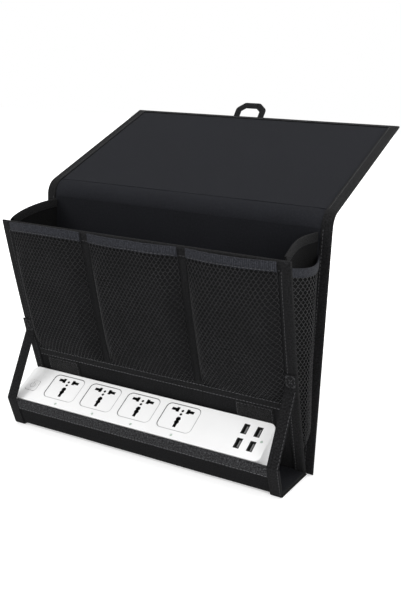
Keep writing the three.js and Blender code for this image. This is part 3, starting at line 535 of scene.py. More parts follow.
def add_stitches(mesh, place, path, level):
    """A row of stitches along a flat path on a panel, each a short arched thread."""
    up = 1 if level >= 0 else -1
    path = [np.array(spot, float) for spot in path]
    for a, b in zip(path, path[1:]):
        length = np.linalg.norm(b - a)
        count = max(1, round(length / STITCH_PITCH))
        for i in range(count):
            middle = a + (b - a) * (i + 0.5) / count
            half = (b - a) / length * STITCH / 2
            spots = [place(*(middle + half * end), level) for end in (-1, 0, 1)]
            out = unit(place(*middle, level + up) - spots[1])
            side = np.cross(out, unit(spots[2] - spots[0]))
            ring = STITCH_WIDTH * np.array([side, out, -side, -out])
            mesh.grid([
                spot + out * STITCH_WIDTH * lift + ring * wide
                for spot, (lift, wide) in zip(spots, STITCH_ARCH)
            ], closed=True)


# Covers. TUCK is where a cover starts to sink under its tape and over what run. PUCKER is
# its puckers' depth, how far they reach from the tape, and their pitch
EDGE_LINES = (7, 9, 10.5, 12, 14)
TURNED_IN = 0.5
COVER_STEP = 7
TUCK = (1.2, 2.2)
PUCKER = (0.22, 7, 3.1)
COVER_SWELL = 0.12


def cover(place, half, along, side, tapes, phase, drawn):
    """The outer face of a panel's cover. tapes gives the tape's width at either end of along;
    an end without a tape is turned in over the board's edge."""
    xs = lines(-half, half, COVER_STEP, EDGE_LINES, EDGE_LINES)
    low, high = along
    near_ends = [[line - TAPE + width for line in EDGE_LINES] if width else () for width in tapes]
    x, v = np.meshgrid(xs, lines(low, high, COVER_STEP, *near_ends), indexing="ij")
    inside = half - np.abs(x) - TAPE
    for width, distance in zip(tapes, (v - low, high - v)):
        if width:
            inside = np.minimum(inside, distance - width)
    sink = drawn * smooth((TUCK[0] - inside) / TUCK[1])
    deep, reach, pitch = PUCKER
    pucker = deep * np.exp(-np.abs(inside) / reach) * np.sin((x + v) / pitch) ** 2
    level = HALF - sink - pucker - COVER_SWELL * (1 + ripple(x, v, phase))
    turned = ((0, 0), tuple(0 if width else 1 for width in tapes))
    x, v = np.pad(x, turned, "edge"), np.pad(v, turned, "edge")
    level = np.pad(level, turned, constant_values=TURNED_IN)
    return Mesh().grid(place(x, v, side * level))


# Node materials
class Graph:
    """Adds nodes to a tree. Values are numbers or other nodes' outputs."""

    def __init__(self, tree, material=None):
        self.tree = tree
        self.material = material
        self.shader = tree.nodes.get("Principled BSDF")

    def link(self, output, socket):
        self.tree.links.new(output, socket)

    def add(self, kind, values=None, **settings):
        made = self.tree.nodes.new(kind)
        for key, value in settings.items():
            setattr(made, key, value)
        for key, value in (values or {}).items():
            if isinstance(value, bpy.types.NodeSocket):
                self.link(value, made.inputs[key])
            else:
                made.inputs[key].default_value = value
        return made

    def group(self, name, **values):
        return self.add("ShaderNodeGroup", values, node_tree=groups[name]).outputs

    def math(self, operation, *values):
        return self.add("ShaderNodeMath", dict(enumerate(values)), operation=operation).outputs[0]

    def times(self, first, second):
        return self.math("MULTIPLY", first, second)

    def total(self, *pairs):
        """The sum of some values, each given with its share."""
        products = [self.times(value, share) for share, value in pairs]
        return functools.reduce(lambda a, b: self.math("ADD", a, b), products)

    def ridges(self, turns):
        """Round ridges, one for each half turn."""
        return self.math("ABSOLUTE", self.math("SINE", turns))

    def vector(self, operation, first, second, key=1):
        values = {0: first, key: second}
        return self.add("ShaderNodeVectorMath", values, operation=operation).outputs

    def parts(self, vector):
        return self.add("ShaderNodeSeparateXYZ", {0: vector}).outputs

    def noise(self, place, scale, detail=2, roughness=0.5):
        values = {"Vector": place, "Scale": scale, "Detail": detail, "Roughness": roughness}
        return self.add("ShaderNodeTexNoise", values).outputs["Fac"]

    def spread(self, value, low, high, new_low=0, new_high=1):
        values = {"Value": value, 1: low, 2: high, 3: new_low, 4: new_high}
        return self.add("ShaderNodeMapRange", values).outputs[0]

    def mix_colour(self, share, first, second):
        mixed = self.add("ShaderNodeMix", {0: share, 6: first, 7: second}, data_type="RGBA")
        return mixed.outputs[2]

    def on_cloth(self):
        return self.add("ShaderNodeUVMap", uv_map="cloth").outputs[0]

    def on_body(self):
        return self.add("ShaderNodeTexCoord").outputs["Object"]

    def finish(self, colour, rough, height, depth, strength=1):
        """The material with its colour, its roughness, and a bump's depth in millimetres."""
        values = {"Height": height, "Distance": depth * MM, "Strength": strength}
        bump = self.add("ShaderNodeBump", values).outputs[0]
        for key, value in (("Base Color", colour), ("Roughness", rough), ("Normal", bump)):
            self.link(value, self.shader.inputs[key])
        return self.material


def new_group(name, **inputs):
    """A group that takes a place and some values: its graph and its input node's outputs."""
    graph = Graph(bpy.data.node_groups.new(name, "ShaderNodeTree"))
    new_socket = graph.tree.interface.new_socket
    new_socket("Place", in_out="INPUT", socket_type="NodeSocketVector")
    for title, value in inputs.items():
        socket = new_socket(title, in_out="INPUT", socket_type="NodeSocketFloat")
        socket.default_value = value
    return graph, graph.add("NodeGroupInput").outputs


def put_out(graph, **outputs):
    """Gives a group its named outputs."""
    for title in outputs:
        graph.tree.interface.new_socket(title, in_out="OUTPUT", socket_type="NodeSocketFloat")
    graph.add("NodeGroupOutput", outputs)
    return graph.tree


def woven_group():
    """Plain weave: threads of two directions that pass over each other in turn."""
    graph, source = new_group("woven threads", Pitch=0.7)
    density = graph.math("DIVIDE", 1, source["Pitch"])
    scaled = graph.vector("SCALE", source["Place"], density, "Scale")[0]
    apart = graph.parts(scaled)
    humps = [graph.ridges(graph.times(apart[k], math.pi)) for k in (0, 1)]
    over = graph.add("ShaderNodeTexChecker", {"Vector": scaled, "Scale": 1}).outputs["Fac"]
    hump = graph.add("ShaderNodeMix", {0: over, 2: humps[0], 3: humps[1]}).outputs[0]
    uneven = graph.spread(graph.noise(scaled, 0.35), 0.25, 0.75, 0.6, 1)
    return put_out(graph, Height=graph.times(hump, uneven), Thread=graph.times(over, uneven))


def ribbed_group():
    """Grosgrain: close ribs that run across a tape, with its fine warp between them."""
    graph, source = new_group("tape ribs", Pitch=0.9)
    apart = graph.parts(source["Place"])
    rib = graph.ridges(graph.math("DIVIDE", graph.times(apart[1], math.pi), source["Pitch"]))
    warp = graph.ridges(graph.times(apart[0], 9))
    return put_out(graph, Height=graph.total((0.75, rib), (0.25, warp)))


def wear_and_glints_group():
    """Handling and lint: broad uneven shade and small paler flecks, and a close mottle that
    is partly uneven yarn tone and partly painted yarn glints.
    """
    graph, source = new_group("handling wear and painted glints", Size=60)
    density = graph.math("DIVIDE", 1, source["Size"])
    broad = graph.noise(source["Place"], density, 4, 0.6)
    fine = graph.noise(source["Place"], graph.times(density, 40), 2, 0.6)
    return put_out(
        graph, Shade=graph.spread(broad, 0.3, 0.7), Fleck=graph.spread(fine, 0.6, 0.75),
        Mottle=graph.spread(fine, 0.36, 0.64),
    )


def fuzz_group():
    """The brushed fibres of a loop patch, in small clumps."""
    graph, source = new_group("brushed fibres")
    cells = graph.add("ShaderNodeTexVoronoi", {"Vector": source["Place"], "Scale": 0.75})
    fibres = graph.noise(source["Place"], 5, 4, 0.75)
    clump = graph.spread(cells.outputs["Distance"], 0, 0.7, 1, 0)
    return put_out(graph, Height=graph.total((0.5, clump), (1, fibres)), Clump=clump)


def moulded_group():
    """The skin of a moulded part: a fine spark texture and a faint uneven polish."""
    graph, source = new_group("moulded skin")
    spark = graph.noise(source["Place"], 2600, 2, 0.6)
    polish = graph.spread(graph.noise(source["Place"], 40, 3, 0.55), 0.3, 0.7)
    return put_out(graph, Height=spark, Polish=polish)


strip_run, strip_out = tilted(STRIP_TILT)
STRIP_ALONG, STRIP_UP = (1, 0, 0), (0, *strip_run)
STRIP_IN = (0, -strip_out[0], -strip_out[1])


def strip_measures(graph, place, *directions):
    """How far a place lies from the foot of the strip's face along directions, in metres."""
    offset = graph.vector("SUBTRACT", place, [v * MM for v in STRIP_FOOT])[0]
    return [graph.vector("DOT_PRODUCT", offset, way)["Value"] for way in directions]


def between(graph, value, low, high):
    """1 where a value in metres lies between two lengths in millimetres."""
    above = graph.math("GREATER_THAN", value, low * MM)
    return graph.times(above, graph.math("LESS_THAN", value, high * MM))


def from_nearest(graph, value, first, pitch):
    """How far a value in metres is from the nearest of a row, given in millimetres."""
    offset = graph.math("SUBTRACT", value, first * MM)
    wrapped = graph.math("WRAP", offset, pitch / 2 * MM, -pitch / 2 * MM)
    return graph.math("ABSOLUTE", wrapped)


def sunk_group():
    """1 in the strip's slots and seams, from a depth below its face, and 0 on its outside: where
    painted shade goes.
    """
    graph, source = new_group("sunk below the face", Start=0)
    depth, up, along = strip_measures(graph, source["Place"], STRIP_IN, STRIP_UP, STRIP_ALONG)
    below = graph.math("SUBTRACT", depth, source["Start"])
    share = graph.spread(below, 0, SEAM_FADE * MM)
    for value, reach in ((up, MOULDED_RISE), (along, MOULDED_SPAN)):
        share = graph.times(share, between(graph, value, *reach))
    return put_out(graph, Share=share)


def socket_group():
    """Masks for painted shade: 1 on the rounded seam round each socket, and on the edges of its
    slots.
    """
    graph, source = new_group("socket's face")
    up, along = strip_measures(graph, source["Place"], STRIP_UP, STRIP_ALONG)
    start = SOCKET_FIRST[0] - SOCKET_PITCH / 2
    inside = between(graph, along, start, start + SOCKET_COUNT * SOCKET_PITCH)
    across = from_nearest(graph, along, SOCKET_FIRST[0], SOCKET_PITCH)
    height = graph.math("SUBTRACT", up, SOCKET_FIRST[1] * MM)

    def beyond(value, centre, half):
        off = graph.math("ABSOLUTE", graph.math("SUBTRACT", value, centre * MM))
        return graph.math("SUBTRACT", off, half * MM)

    def length(*values):
        squares = [graph.times(value, value) for value in values]
        return graph.math("SQRT", graph.math("ADD", *squares))

    corner = [
        graph.math("MAXIMUM", beyond(value, 0, half - SOCKET_CORNER), 0)
        for value, half in zip((across, height), SOCKET_HALF)
    ]
    off = graph.math("ABSOLUTE", graph.math("SUBTRACT", length(*corner), SOCKET_CORNER * MM))
    near = 1
    for x, middle, wide, tall in SLOT_BOXES:
        box = graph.math("MAXIMUM", beyond(across, x, wide), beyond(height, middle, tall))
        near = graph.math("MINIMUM", near, box)
    for middle, radius in SLOT_DISCS:
        from_middle = length(across, graph.math("SUBTRACT", height, middle * MM))
        near = graph.math("MINIMUM", near, graph.math("SUBTRACT", from_middle, radius * MM))
    # Painted shade: a grey line on each socket's seam and a dark rim round its slots, fading out
    line, rim = (
        graph.times(graph.spread(value, low * MM, high * MM, 1, 0), inside)
        for value, (low, high) in ((off, SOCKET_SEAM_SHADE), (near, SLOT_SHADE_RIM))
    )
    return put_out(graph, Line=line, Rim=rim)


def usb_group():
    """1 on the tongue in the middle of each USB port, and 0 on its shell."""
    graph, source = new_group("tongue of a port")
    share = 1
    measures = strip_measures(graph, source["Place"], STRIP_ALONG, STRIP_UP)
    for value, first, pitch, half in zip(
        measures, USB_TONGUE_FIRST, USB_TONGUE_PITCH, USB_TONGUE_HALF
    ):
        near = graph.math("LESS_THAN", from_nearest(graph, value, first, pitch), half * MM)
        share = graph.times(share, near)
    return put_out(graph, Share=share)


groups = {
    "woven": woven_group(), "ribbed": ribbed_group(), "wear_and_glints": wear_and_glints_group(),
    "fuzz": fuzz_group(), "moulded": moulded_group(), "sunk": sunk_group(), "usb": usb_group(),
    "socket": socket_group(),
}


def start_material(name, specular, **sockets):
    """The graph of a new material, with its Principled shader's uniform sockets set."""
    material = bpy.data.materials.new(name)
    material.use_nodes = True
    graph = Graph(material.node_tree, material)
    graph.shader.inputs["Specular IOR Level"].default_value = specular
    for key, value in sockets.items():
        graph.shader.inputs[key.replace("_", " ")].default_value = value
    return graph


def grey(level, tint=(1, 1, 1)):
    return tuple(level * t for t in tint) + (1,)


COOL = (0.94, 0.985, 1.18)
FAINT = (0.985, 0.99, 1.05)
WEAR_SIZE = 60
WEAVE_DEPTH = 0.25


def greys(dark, pale, tint=FAINT):
    """A cloth's dark and pale shade."""
    return grey(dark, tint), grey(pale, tint)


def cloth_material(name, colours, pitch, rough):
    """Woven polyester: thread by thread shade, broad wear, small flecks, a close mottle that is
    partly painted yarn glints, and a thread-deep bump.
    """
    graph = start_material(name, 0.05, Sheen_Weight=0.01, Sheen_Roughness=0.45)
    place = graph.on_cloth()
    weave = graph.group("woven", Place=place, Pitch=pitch)
    wear_and_glints = graph.group("wear_and_glints", Place=place, Size=WEAR_SIZE)
    # Part of the mottle is painted yarn glints
    shade = graph.total(
        (0.35, weave["Thread"]), (0.2, wear_and_glints["Shade"]), (0.3, wear_and_glints["Mottle"]), (0.3, wear_and_glints["Fleck"])
    )
    uneven = graph.spread(wear_and_glints["Shade"], 0, 1, rough - 0.06, rough + 0.06)
    return graph.finish(
        graph.mix_colour(shade, *colours), uneven, weave["Height"], WEAVE_DEPTH
    )


def tape_material(name, colours, pitch, rough, sheen, depth=0.3, fleck=0.2):
    """Ribbed binding or webbing tape, paler on its rib crests as a painted highlight, with small
    flecks and a close mottle that is partly painted yarn glints.
    """
    graph = start_material(name, 0.07, Sheen_Weight=sheen, Sheen_Roughness=0.4)
    place = graph.on_cloth()
    ribs = graph.group("ribbed", Place=place, Pitch=pitch)
    wear_and_glints = graph.group("wear_and_glints", Place=place, Size=WEAR_SIZE)
    # Painted highlight: paler on the rib crests and in the mottle's yarn glints
    shade = graph.times(ribs["Height"], graph.spread(wear_and_glints["Mottle"], 0, 1, 0.1, 1.1))
    shade = graph.times(shade, graph.spread(wear_and_glints["Shade"], 0, 1, 0.8, 1.1))
    shade = graph.total((1, shade), (fleck, wear_and_glints["Fleck"]))
    uneven = graph.spread(wear_and_glints["Shade"], 0, 1, rough - 0.08, rough + 0.05)
    return graph.finish(graph.mix_colour(shade, *colours), uneven, ribs["Height"], depth)


def thread_material(name, colours, twist, rough):
    """Twisted thread, for nets and stitches."""
    graph = start_material(name, 0.3, Sheen_Weight=0.04, Sheen_Roughness=0.35)
    apart = graph.parts(graph.on_cloth())
    ply = graph.ridges(graph.total((3.5, apart[0]), (twist, apart[1])))
    wear_and_glints = graph.group("wear_and_glints", Place=graph.on_body(), Size=0.03)
    shade = graph.times(ply, graph.spread(wear_and_glints["Shade"], 0, 1, 0.4, 1))
    uneven = graph.spread(ply, 0, 1, rough + 0.1, rough)
    return graph.finish(graph.mix_colour(shade, *colours), uneven, ply, 0.08)


def fuzz_material(name, colours, depth):
    """The brushed or hooked face of a patch."""
    graph = start_material(name, 0.1, Sheen_Weight=0.06, Sheen_Roughness=0.5)
    fuzz = graph.group("fuzz", Place=graph.on_cloth())
    uneven = graph.spread(fuzz["Clump"], 0, 1, 0.95, 0.8)
    return graph.finish(
        graph.mix_colour(fuzz["Clump"], *colours), uneven, fuzz["Height"], depth
    )


def plastic_material(name, colours, rough, shade_in_hollows=None, start=0, tongue=None, line=None,
                     metallic=0.0):
    """Moulded plastic or plated metal with a fine skin and a faint uneven polish. From a depth
    below the strip's face, and on the edges of a socket's slots, it turns to a dark painted
    shade, on a port's tongue to the tongue's, and on the seam round a socket to the line's
    grey, also a painted shade."""
    graph = start_material(name, 0.4, Metallic=metallic)
    place = graph.on_body()
    skin = graph.group("moulded", Place=place)
    colour = graph.mix_colour(skin["Polish"], *colours)
    if line:
        # Painted shade on the seam round each socket and on the rims of its slots
        face = graph.group("socket", Place=place)
        colour = graph.mix_colour(face["Line"], colour, line)
        colour = graph.mix_colour(face["Rim"], colour, shade_in_hollows)
    if shade_in_hollows:
        # Painted shade in the slots and seams below the face
        sunk = graph.group("sunk", Place=place, Start=start * MM)
        colour = graph.mix_colour(sunk["Share"], colour, shade_in_hollows)
    if tongue:
        middle = graph.group("usb", Place=place)
        colour = graph.mix_colour(middle["Share"], colour, tongue)
    uneven = graph.spread(skin["Polish"], 0, 1, rough - 0.05, rough + 0.07)
    return graph.finish(colour, uneven, skin["Height"], 0.02, 0.6)


def board_material(name, colours):
    """Grey board with its pulp fibres."""
    graph = start_material(name, 0.2)
    pulp = graph.noise(graph.on_body(), 900, 5, 0.7)
    uneven = graph.spread(pulp, 0.3, 0.7, 0.8, 0.95)
    return graph.finish(graph.mix_colour(pulp, *colours), uneven, pulp, 0.1)


caddy_cloth = cloth_material("caddy cloth", greys(0.011, 0.024, COOL), 0.7, 0.82)
lining_cloth = cloth_material("lining cloth", greys(0.009, 0.019, COOL), 0.55, 0.86)
# The front cloth's darker base is partly its own tone and partly painted shade behind the pocket
# nets
front_cloth_and_shade = cloth_material("front cloth and painted shade", greys(0.004, 0.023), 0.7, 0.84)
tray_cloth = cloth_material("tray cloth", greys(0.006, 0.02), 0.7, 0.84)
# The gussets' cloth is a darker copy of the caddy cloth: painted shade on the caddy's sides
shaded_gusset_cloth = cloth_material("gusset cloth in painted shade", greys(0.002, 0.008), 0.7, 0.85)
binding_tape = tape_material("binding tape", greys(0.003, 0.02), 0.9, 0.66, 0.015)
lip_tape = tape_material("lip tape", greys(0.004, 0.08), 1.3, 0.75, 0.02, 0.4, 1.3)
strap_webbing = tape_material("strap webbing", greys(0.003, 0.022), 1.1, 0.68, 0.015, 0.35)
elastic_band = tape_material("elastic band", greys(0.01, 0.046, COOL), 1.6, 0.72, 0.02, 0.2)
net_thread = thread_material("net thread", greys(0.004, 0.04), 5, 0.34)
seam_thread = thread_material("seam thread", greys(0.025, 0.1), 4, 0.55)
# Pale thread: the lip's and pocket seam's stitches, paler partly to stand for a painted highlight
# along those tapes' lit edges
pale_thread_and_highlight = thread_material("pale seam thread with painted highlight", greys(0.06, 0.22), 4, 0.55)
loop_pile = fuzz_material("loop pile", greys(0.004, 0.018), 0.5)
hook_face = fuzz_material("hook face", greys(0.006, 0.022), 0.7)
stiff_board = board_material("stiff board", (grey(0.05), grey(0.1)))
# The seam grey is painted shade on the seam round each socket
moulded_white, seam_shade_grey = (grey(0.87), grey(0.9)), grey(0.42)
# The hollow colours below are painted shade in the strip's slots and seams and round the button
white_shell = plastic_material(
    "white shell", moulded_white, 0.36, shade_in_hollows=grey(0.06), start=0.04, line=seam_shade_grey
)
socket_white = plastic_material(
    "socket white", moulded_white, 0.4, shade_in_hollows=grey(0.003), start=SOCKET_SINK + 0.02,
    line=seam_shade_grey,
)
button_white = plastic_material("button white", (grey(0.84), grey(0.87)), 0.38, shade_in_hollows=grey(0.1))
mark_grey = plastic_material("mark grey", (grey(0.3), grey(0.36)), 0.5)
usb_steel = plastic_material("usb steel", (grey(0.008), grey(0.016)), 0.5, tongue=grey(0.2))
light_lens = plastic_material("light lens", ((0.45, 0.55, 0.48, 1), (0.5, 0.6, 0.52, 1)), 0.3)
board_green = plastic_material(
    "circuit green", ((0.02, 0.13, 0.06, 1), (0.03, 0.17, 0.08, 1)), 0.5
)
brass = plastic_material(
    "contact brass", ((0.55, 0.38, 0.15, 1), (0.62, 0.45, 0.2, 1)), 0.35, metallic=1.0
)
gland_grey = plastic_material("gland rubber", (grey(0.6), grey(0.66)), 0.6)
switch_dark = plastic_material("switch case", (grey(0.02), grey(0.03)), 0.5)


def sew(name, body, rows, slot="binding_tape", thread=seam_thread):
    """Rows of stitches as one piece, each row a (place, path, level)."""
    mesh = Mesh()
    for row in rows:
        add_stitches(mesh, *row)
    return mesh.make(name, body, thread, slot)


# Panels
LINING = (lining_cloth, "lining_cloth")


def make_panel(body, place, half, covers, open_end, bound_end, end_tape, reach, drawn, phase):
    """A board's two covers, and its bound edge with its stitches. The edge runs from the open
    end along one side, over the bound end and back."""
    down = bound_end < open_end
    turn = 1 if down else -1
    along = sorted((open_end, bound_end + turn * TAPE_REACH))
    tapes = (end_tape, 0) if down else (0, end_tape)
    cover_half = half - TAPE_REACH
    for side, (name, node, material, slot) in zip((1, -1), covers):
        mesh = cover(place, cover_half, along, side, tapes, phase + side, drawn)
        piece = mesh.make(f"{body}_{name}_cloth", body, material, slot, f"{body}_cover_{node}")
    corners = [(-half, open_end), (-half, bound_end), (half, bound_end), (half, open_end)]
    widths = [TAPE, end_tape, TAPE]
    tape = bound_edge(place, corners, widths, turn, reach)
    tape.make(f"{body}_bound_edge", body, binding_tape, "binding_tape", f"{body}_binding")
    row = inset_path(corners, widths, turn, EDGE_ROW)
    sew(f"{body}_edge_stitches", body, [(place, row, level) for level in (reach, -reach)])


def make_back_panel():
    make_panel(
        "back", back_place, EDGE,
        (("rear", "outer", caddy_cloth, "caddy_cloth"), ("lining", "inner", *LINING)),
        BACK_TOP, BOTTOM, end_tape=TAPE, reach=THIN_REACH, drawn=PINCH, phase=1,
    )


def make_flap():
    make_panel(
        "flap", flap_place, EDGE,
        (("top", "top", caddy_cloth, "caddy_cloth"), ("under", "under", *LINING)),
        FOLD_TANGENT + SEAT, FLAP_LENGTH, end_tape=TAPE / 2, reach=THIN_REACH, drawn=PINCH, phase=3,
    )


def make_front_panel():
    make_panel(
        "front", front_place, FRONT_EDGE,
        (("face", "outer", front_cloth_and_shade, "caddy_cloth"), ("lining", "inner", *LINING)),
        0, FRONT_LENGTH, end_tape=TAPE, reach=FULL_REACH, drawn=0, phase=6,
    )


def make_fold():
    """The soft fold between back panel and flap, with its own bound sides."""
    length = FOLD_RADIUS * FOLD_TURN
    half = EDGE - TAPE_REACH
    x, v = np.meshgrid(lines(-half, half, 6), np.linspace(-SEAT, length + SEAT, 12), indexing="ij")
    crease = FOLD_CREASE * np.sin(v * math.pi / length) * ripple(x, v, 5)
    full = smooth((half - TAPE - np.abs(x)) / FOLD_THINS_OVER)
    thick = 2 * (HALF - PINCH - GAP) + FOLD_FULL * full
    mesh = Mesh().shell(fold_place(x, v, crease), thick[..., None])
    start, end = (Vector(fold_place(0, along, 0) * MM) for along in (0, length))
    cloth = mesh.make("fold_cloth", None, caddy_cloth, "caddy_cloth", "fold_strip")
    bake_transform(cloth)
    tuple(start)
    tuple(end)
    for name, side in SIDES:
        corners = [(side * EDGE, -SEAT), (side * EDGE, length + SEAT)]
        tape = bound_edge(fold_place, corners, [TAPE], side, THIN_REACH, swell=0, step=2)
        piece = tape.make(f"fold_tape_{name}", None, binding_tape, "binding_tape")
        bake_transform(piece)
        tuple(start)
        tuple(end)


# Nets and bands. TINY is the step that finds a net's slope, and a thread has three sides
TINY = 0.001
THREAD_TURNS = math.pi * (1 / 2 + 2 * np.arange(3) / 3)


def make_net(name, body, node, surface, width, height):
    """A net of six-sided holes on a surface of shares: zigzag threads that meet by turns."""
    mesh = Mesh()
    count = max(2, round(2 * width / NET_CELL))
    rows = max(2, round(height / NET_ROW))
    row = np.arange(rows + 1)
    knots = np.stack([row - NET_KNOT_SHARE / 2, row + NET_KNOT_SHARE / 2], 1).ravel() / rows
    b = np.clip(knots, 0, 1)
    reach = NET_CLOSE_SHARE / 2 / count
    for thread in range(count + 1):
        swing = np.repeat(np.where((thread + row) % 2 == 0, reach, -reach), 2)
        a = np.clip(thread / count + swing, 0, 1)
        across = unit(surface(a + TINY, b) - surface(a - TINY, b))
        along = unit(surface(a, b + TINY) - surface(a, b - TINY))
        out = np.cross(across, along)
        line = surface(a, b) + out * NET_WEAVE * (1 if thread % 2 else -1)
        side = unit(np.cross(np.gradient(line, axis=0), out))
        mesh.tube([
            line + NET_THREAD * (side * math.cos(turn) + out * math.sin(turn))
            for turn in THREAD_TURNS
        ])
    piece = mesh.make(name, body, net_thread, "pocket_net", node, crisp=False)
    return piece


def band_profile(height, thick):
    """A folded elastic seen from its end: (share of its height, level), round at both edges."""
    edge, middle = thick / 2 / height, thick / 2
    turns = np.linspace(-math.pi / 2, math.pi / 2, 4)
    top = [(1 - edge + edge * math.cos(t), middle + middle * math.sin(t)) for t in turns]
    foot = [(edge - edge * math.cos(t), middle - middle * math.sin(t)) for t in turns]
    return top + [(0.5, 1.06 * thick)] + foot + [(0.5, 0)]


def gathers(place, share, size):
    """How far a band's gathers swell it at a place along it, more so towards its top."""
    swell, waves = size
    return swell * np.sin(place * waves) * (0.4 + 0.6 * share)


def make_pocket(name, left, width, sag):
    """A net pocket on the front panel, from its left seam, under its elastic band."""
    foot, band_foot = POCKET_SEAM + GAP, FRONT_LENGTH - BAND

    def stand(x, along):
        to_seam = np.minimum(x - left, left + width - x)
        held = smooth((along - FRONT_LENGTH + BAND_HOLD_RUN) / (BAND_HOLD_RUN - BAND))
        run = POCKET_SIDE_RUN + (BAND_SIDE_RUN - POCKET_SIDE_RUN) * held
        full = POCKET_STAND * rise(to_seam, run) * rise(along - foot, POCKET_FOOT_RUN)
        return full * (1 - BAND_HOLD * held)

    def sag_at(a):
        return sag * sagging(a) ** 0.8

    def net_surface(a, b):
        x = left + a * width
        along = foot + b * (band_foot + 1 - foot) - smooth(b) * sag_at(a)
        sway = NET_SWAY[0] * ripple(x, along, 2) * rise(b, NET_SWAY[1])
        return front_place(x, along, NET_SEAT + stand(x, along) + NET_LIFT + sway)

    def band_place(x, along, level):
        return front_place(x, along, level + stand(x, along + sag_at((x - left) / width)))

    make_net(f"net_{name}", "front", f"pocket_net_{name}", net_surface, width, band_foot - foot)
    stations = np.linspace(0, 1, round(width / BAND_STEP))
    x = left + stations * width
    rings = []
    for share, level in band_profile(BAND, BAND_THICK):
        along = band_foot + share * BAND
        lift = NET_SEAT + stand(x, along) + level + gathers(x, share, BAND_GATHERS)
        rings.append(front_place(x, along - sag_at(stations), lift))
    band = Mesh().tube(rings)
    band.make(f"band_{name}", "front", elastic_band, "pocket_band", f"pocket_band_{name}")
    row = [
        (left + s * width, FRONT_LENGTH - BAND_ROW * BAND - sag_at(s))
        for s in np.linspace(0.02, 0.98, 9)
    ]
    rows = [(band_place, row, NET_SEAT + BAND_THICK + 0.1)]
    sew(f"band_stitches_{name}", "front", rows, "pocket_band")


def make_pockets():
    clear = DIVIDER_WIDTH / 2 + GAP
    lefts = [-FIELD_EDGE, *(x + clear for x in DIVIDERS)]
    rights = [*(x - clear for x in DIVIDERS), FIELD_EDGE]
    for name, left, right, sag in zip(("left", "middle", "right"), lefts, rights, BAND_SAGS):
        make_pocket(name, left, right - left, sag)


# Flat tapes: the dividers, and the seam below the pockets
def flat_tape(low, width, start, end, upright):
    """A thin tape with rounded edges, which runs up the front panel or along it."""
    profile = mirrored([*TAPE_CROWN, (width / 2, TAPE_MIDDLE)], width)
    stations = np.linspace(start, end, max(2, round((end - start) / 6)))
    rings = []
    for across, share in profile:
        x, v = (low + across, stations) if upright else (stations, low + across)
        rings.append(front_place(x, v, FACE + share * TAPE_THICK))
    return Mesh().grid(np.stack(rings, 1), caps=True)


def make_seams():
    foot, top = POCKET_SEAM + GAP, FRONT_LENGTH - TAPE - GAP
    for (name, _), x in zip(SIDES, DIVIDERS):
        left = x - DIVIDER_WIDTH / 2
        tape = flat_tape(left, DIVIDER_WIDTH, foot, top, True)
        for edge in (left + DIVIDER_ROW, left + DIVIDER_WIDTH - DIVIDER_ROW):
            row = [(edge, POCKET_SEAM + DIVIDER_ROW_FOOT), (edge, top)]
            add_stitches(tape, front_place, row, FACE + 1.15 * TAPE_THICK)
        tape.make(
            f"divider_{name}", "front", binding_tape, "binding_tape", f"pocket_divider_{name}"
        )
    tape = flat_tape(POCKET_SEAM - SEAM_TAPE, SEAM_TAPE, -FIELD_EDGE, FIELD_EDGE, False)
    tape.make("pocket_seam_edge", "front", binding_tape, "binding_tape", "pocket_seam_tape")
    # Pale stitches, partly a painted highlight along the seam tape's lit edge
    sew("pocket_seam_stitches", "front", [
        (front_place, [(-FIELD_EDGE, row), (FIELD_EDGE, row)], FACE + 1.1 * TAPE_THICK)
        for row in (POCKET_SEAM - SEAM_ROW, POCKET_SEAM - SEAM_TAPE + SEAM_ROW)
    ], thread=pale_thread_and_highlight)


# Hook and loop patches
def soft_pad(place, centre, size, level, thick):
    """A soft pad with round corners and a crowned face."""
    (cx, cv), (width, height) = centre, size
    a, b = np.meshgrid(np.linspace(-1, 1, 15), np.linspace(-1, 1, 11), indexing="ij")
    x, v = cx + a * width / 2, cv + b * height / 2
    edge = np.minimum((1 - np.abs(a)) * width, (1 - np.abs(b)) * height) / 2
    crown = PAD_EDGE + (1 - PAD_EDGE) * rise(edge, PAD_EDGE_RUN)
    swell = PAD_SWELL * ripple(x * 4, v * 4, 1)
    return Mesh().grid(place(x, v, level + thick * crown + swell))


def make_loop_pads():
    middle = POCKET_SEAM - SEAM_TAPE - GAP - PATCH_HEIGHT / 2
    half, tall = PATCH_WIDTH / 2 - PATCH_ROW, PATCH_HEIGHT / 2 - PATCH_ROW
    for (name, _), x in zip(SIDES, PATCH_CENTRES):
        pad = soft_pad(front_place, (x, middle), (PATCH_WIDTH, PATCH_HEIGHT), FACE, PATCH_THICK)
        pad.make(f"loop_pad_{name}", "front", loop_pile, "hook_and_loop", f"loop_patch_{name}")
        box = box_path(x, half, middle - tall, middle + tall)
        rows = [(front_place, box, FACE + 0.95 * PATCH_THICK)]
        sew(f"loop_pad_stitches_{name}", "front", rows, "hook_and_loop")


def make_hook_pads():
    middle = HOOK_FOOT + HALF + STRAP_THICK + HOOK_HEIGHT / 2
    inner = -(STRAP_THICK + GAP + PANEL + GAP)
    half = PATCH_WIDTH / 2 - HOOK_ROW
    for (name, _), x in zip(SIDES, PATCH_CENTRES):
        pad = soft_pad(wall_place, (x, middle), (PATCH_WIDTH, HOOK_HEIGHT), inner, -PATCH_THICK)
        add_stitches(pad, wall_place, [(x - half, middle), (x + half, middle)], inner - PATCH_THICK)
        pad.make(f"hook_pad_{name}", "front", hook_face, "hook_and_loop", f"hook_patch_{name}")


# Tray
def tray_path(level, radius):
    """The tray's path moved by a level, with its corner rounded: points and outward directions."""
    bisector = math.tan(math.atan2(wall_run[1], -wall_run[0]) / 2)
    start = tray_outer[0] + np.array([0, -level])
    corner = tray_outer[1] + np.array([-level * bisector, -level])
    end = tray_outer[2] - wall_run * SEAT + wall_out * level
    return bent_path([start, corner, end], radius, 6)


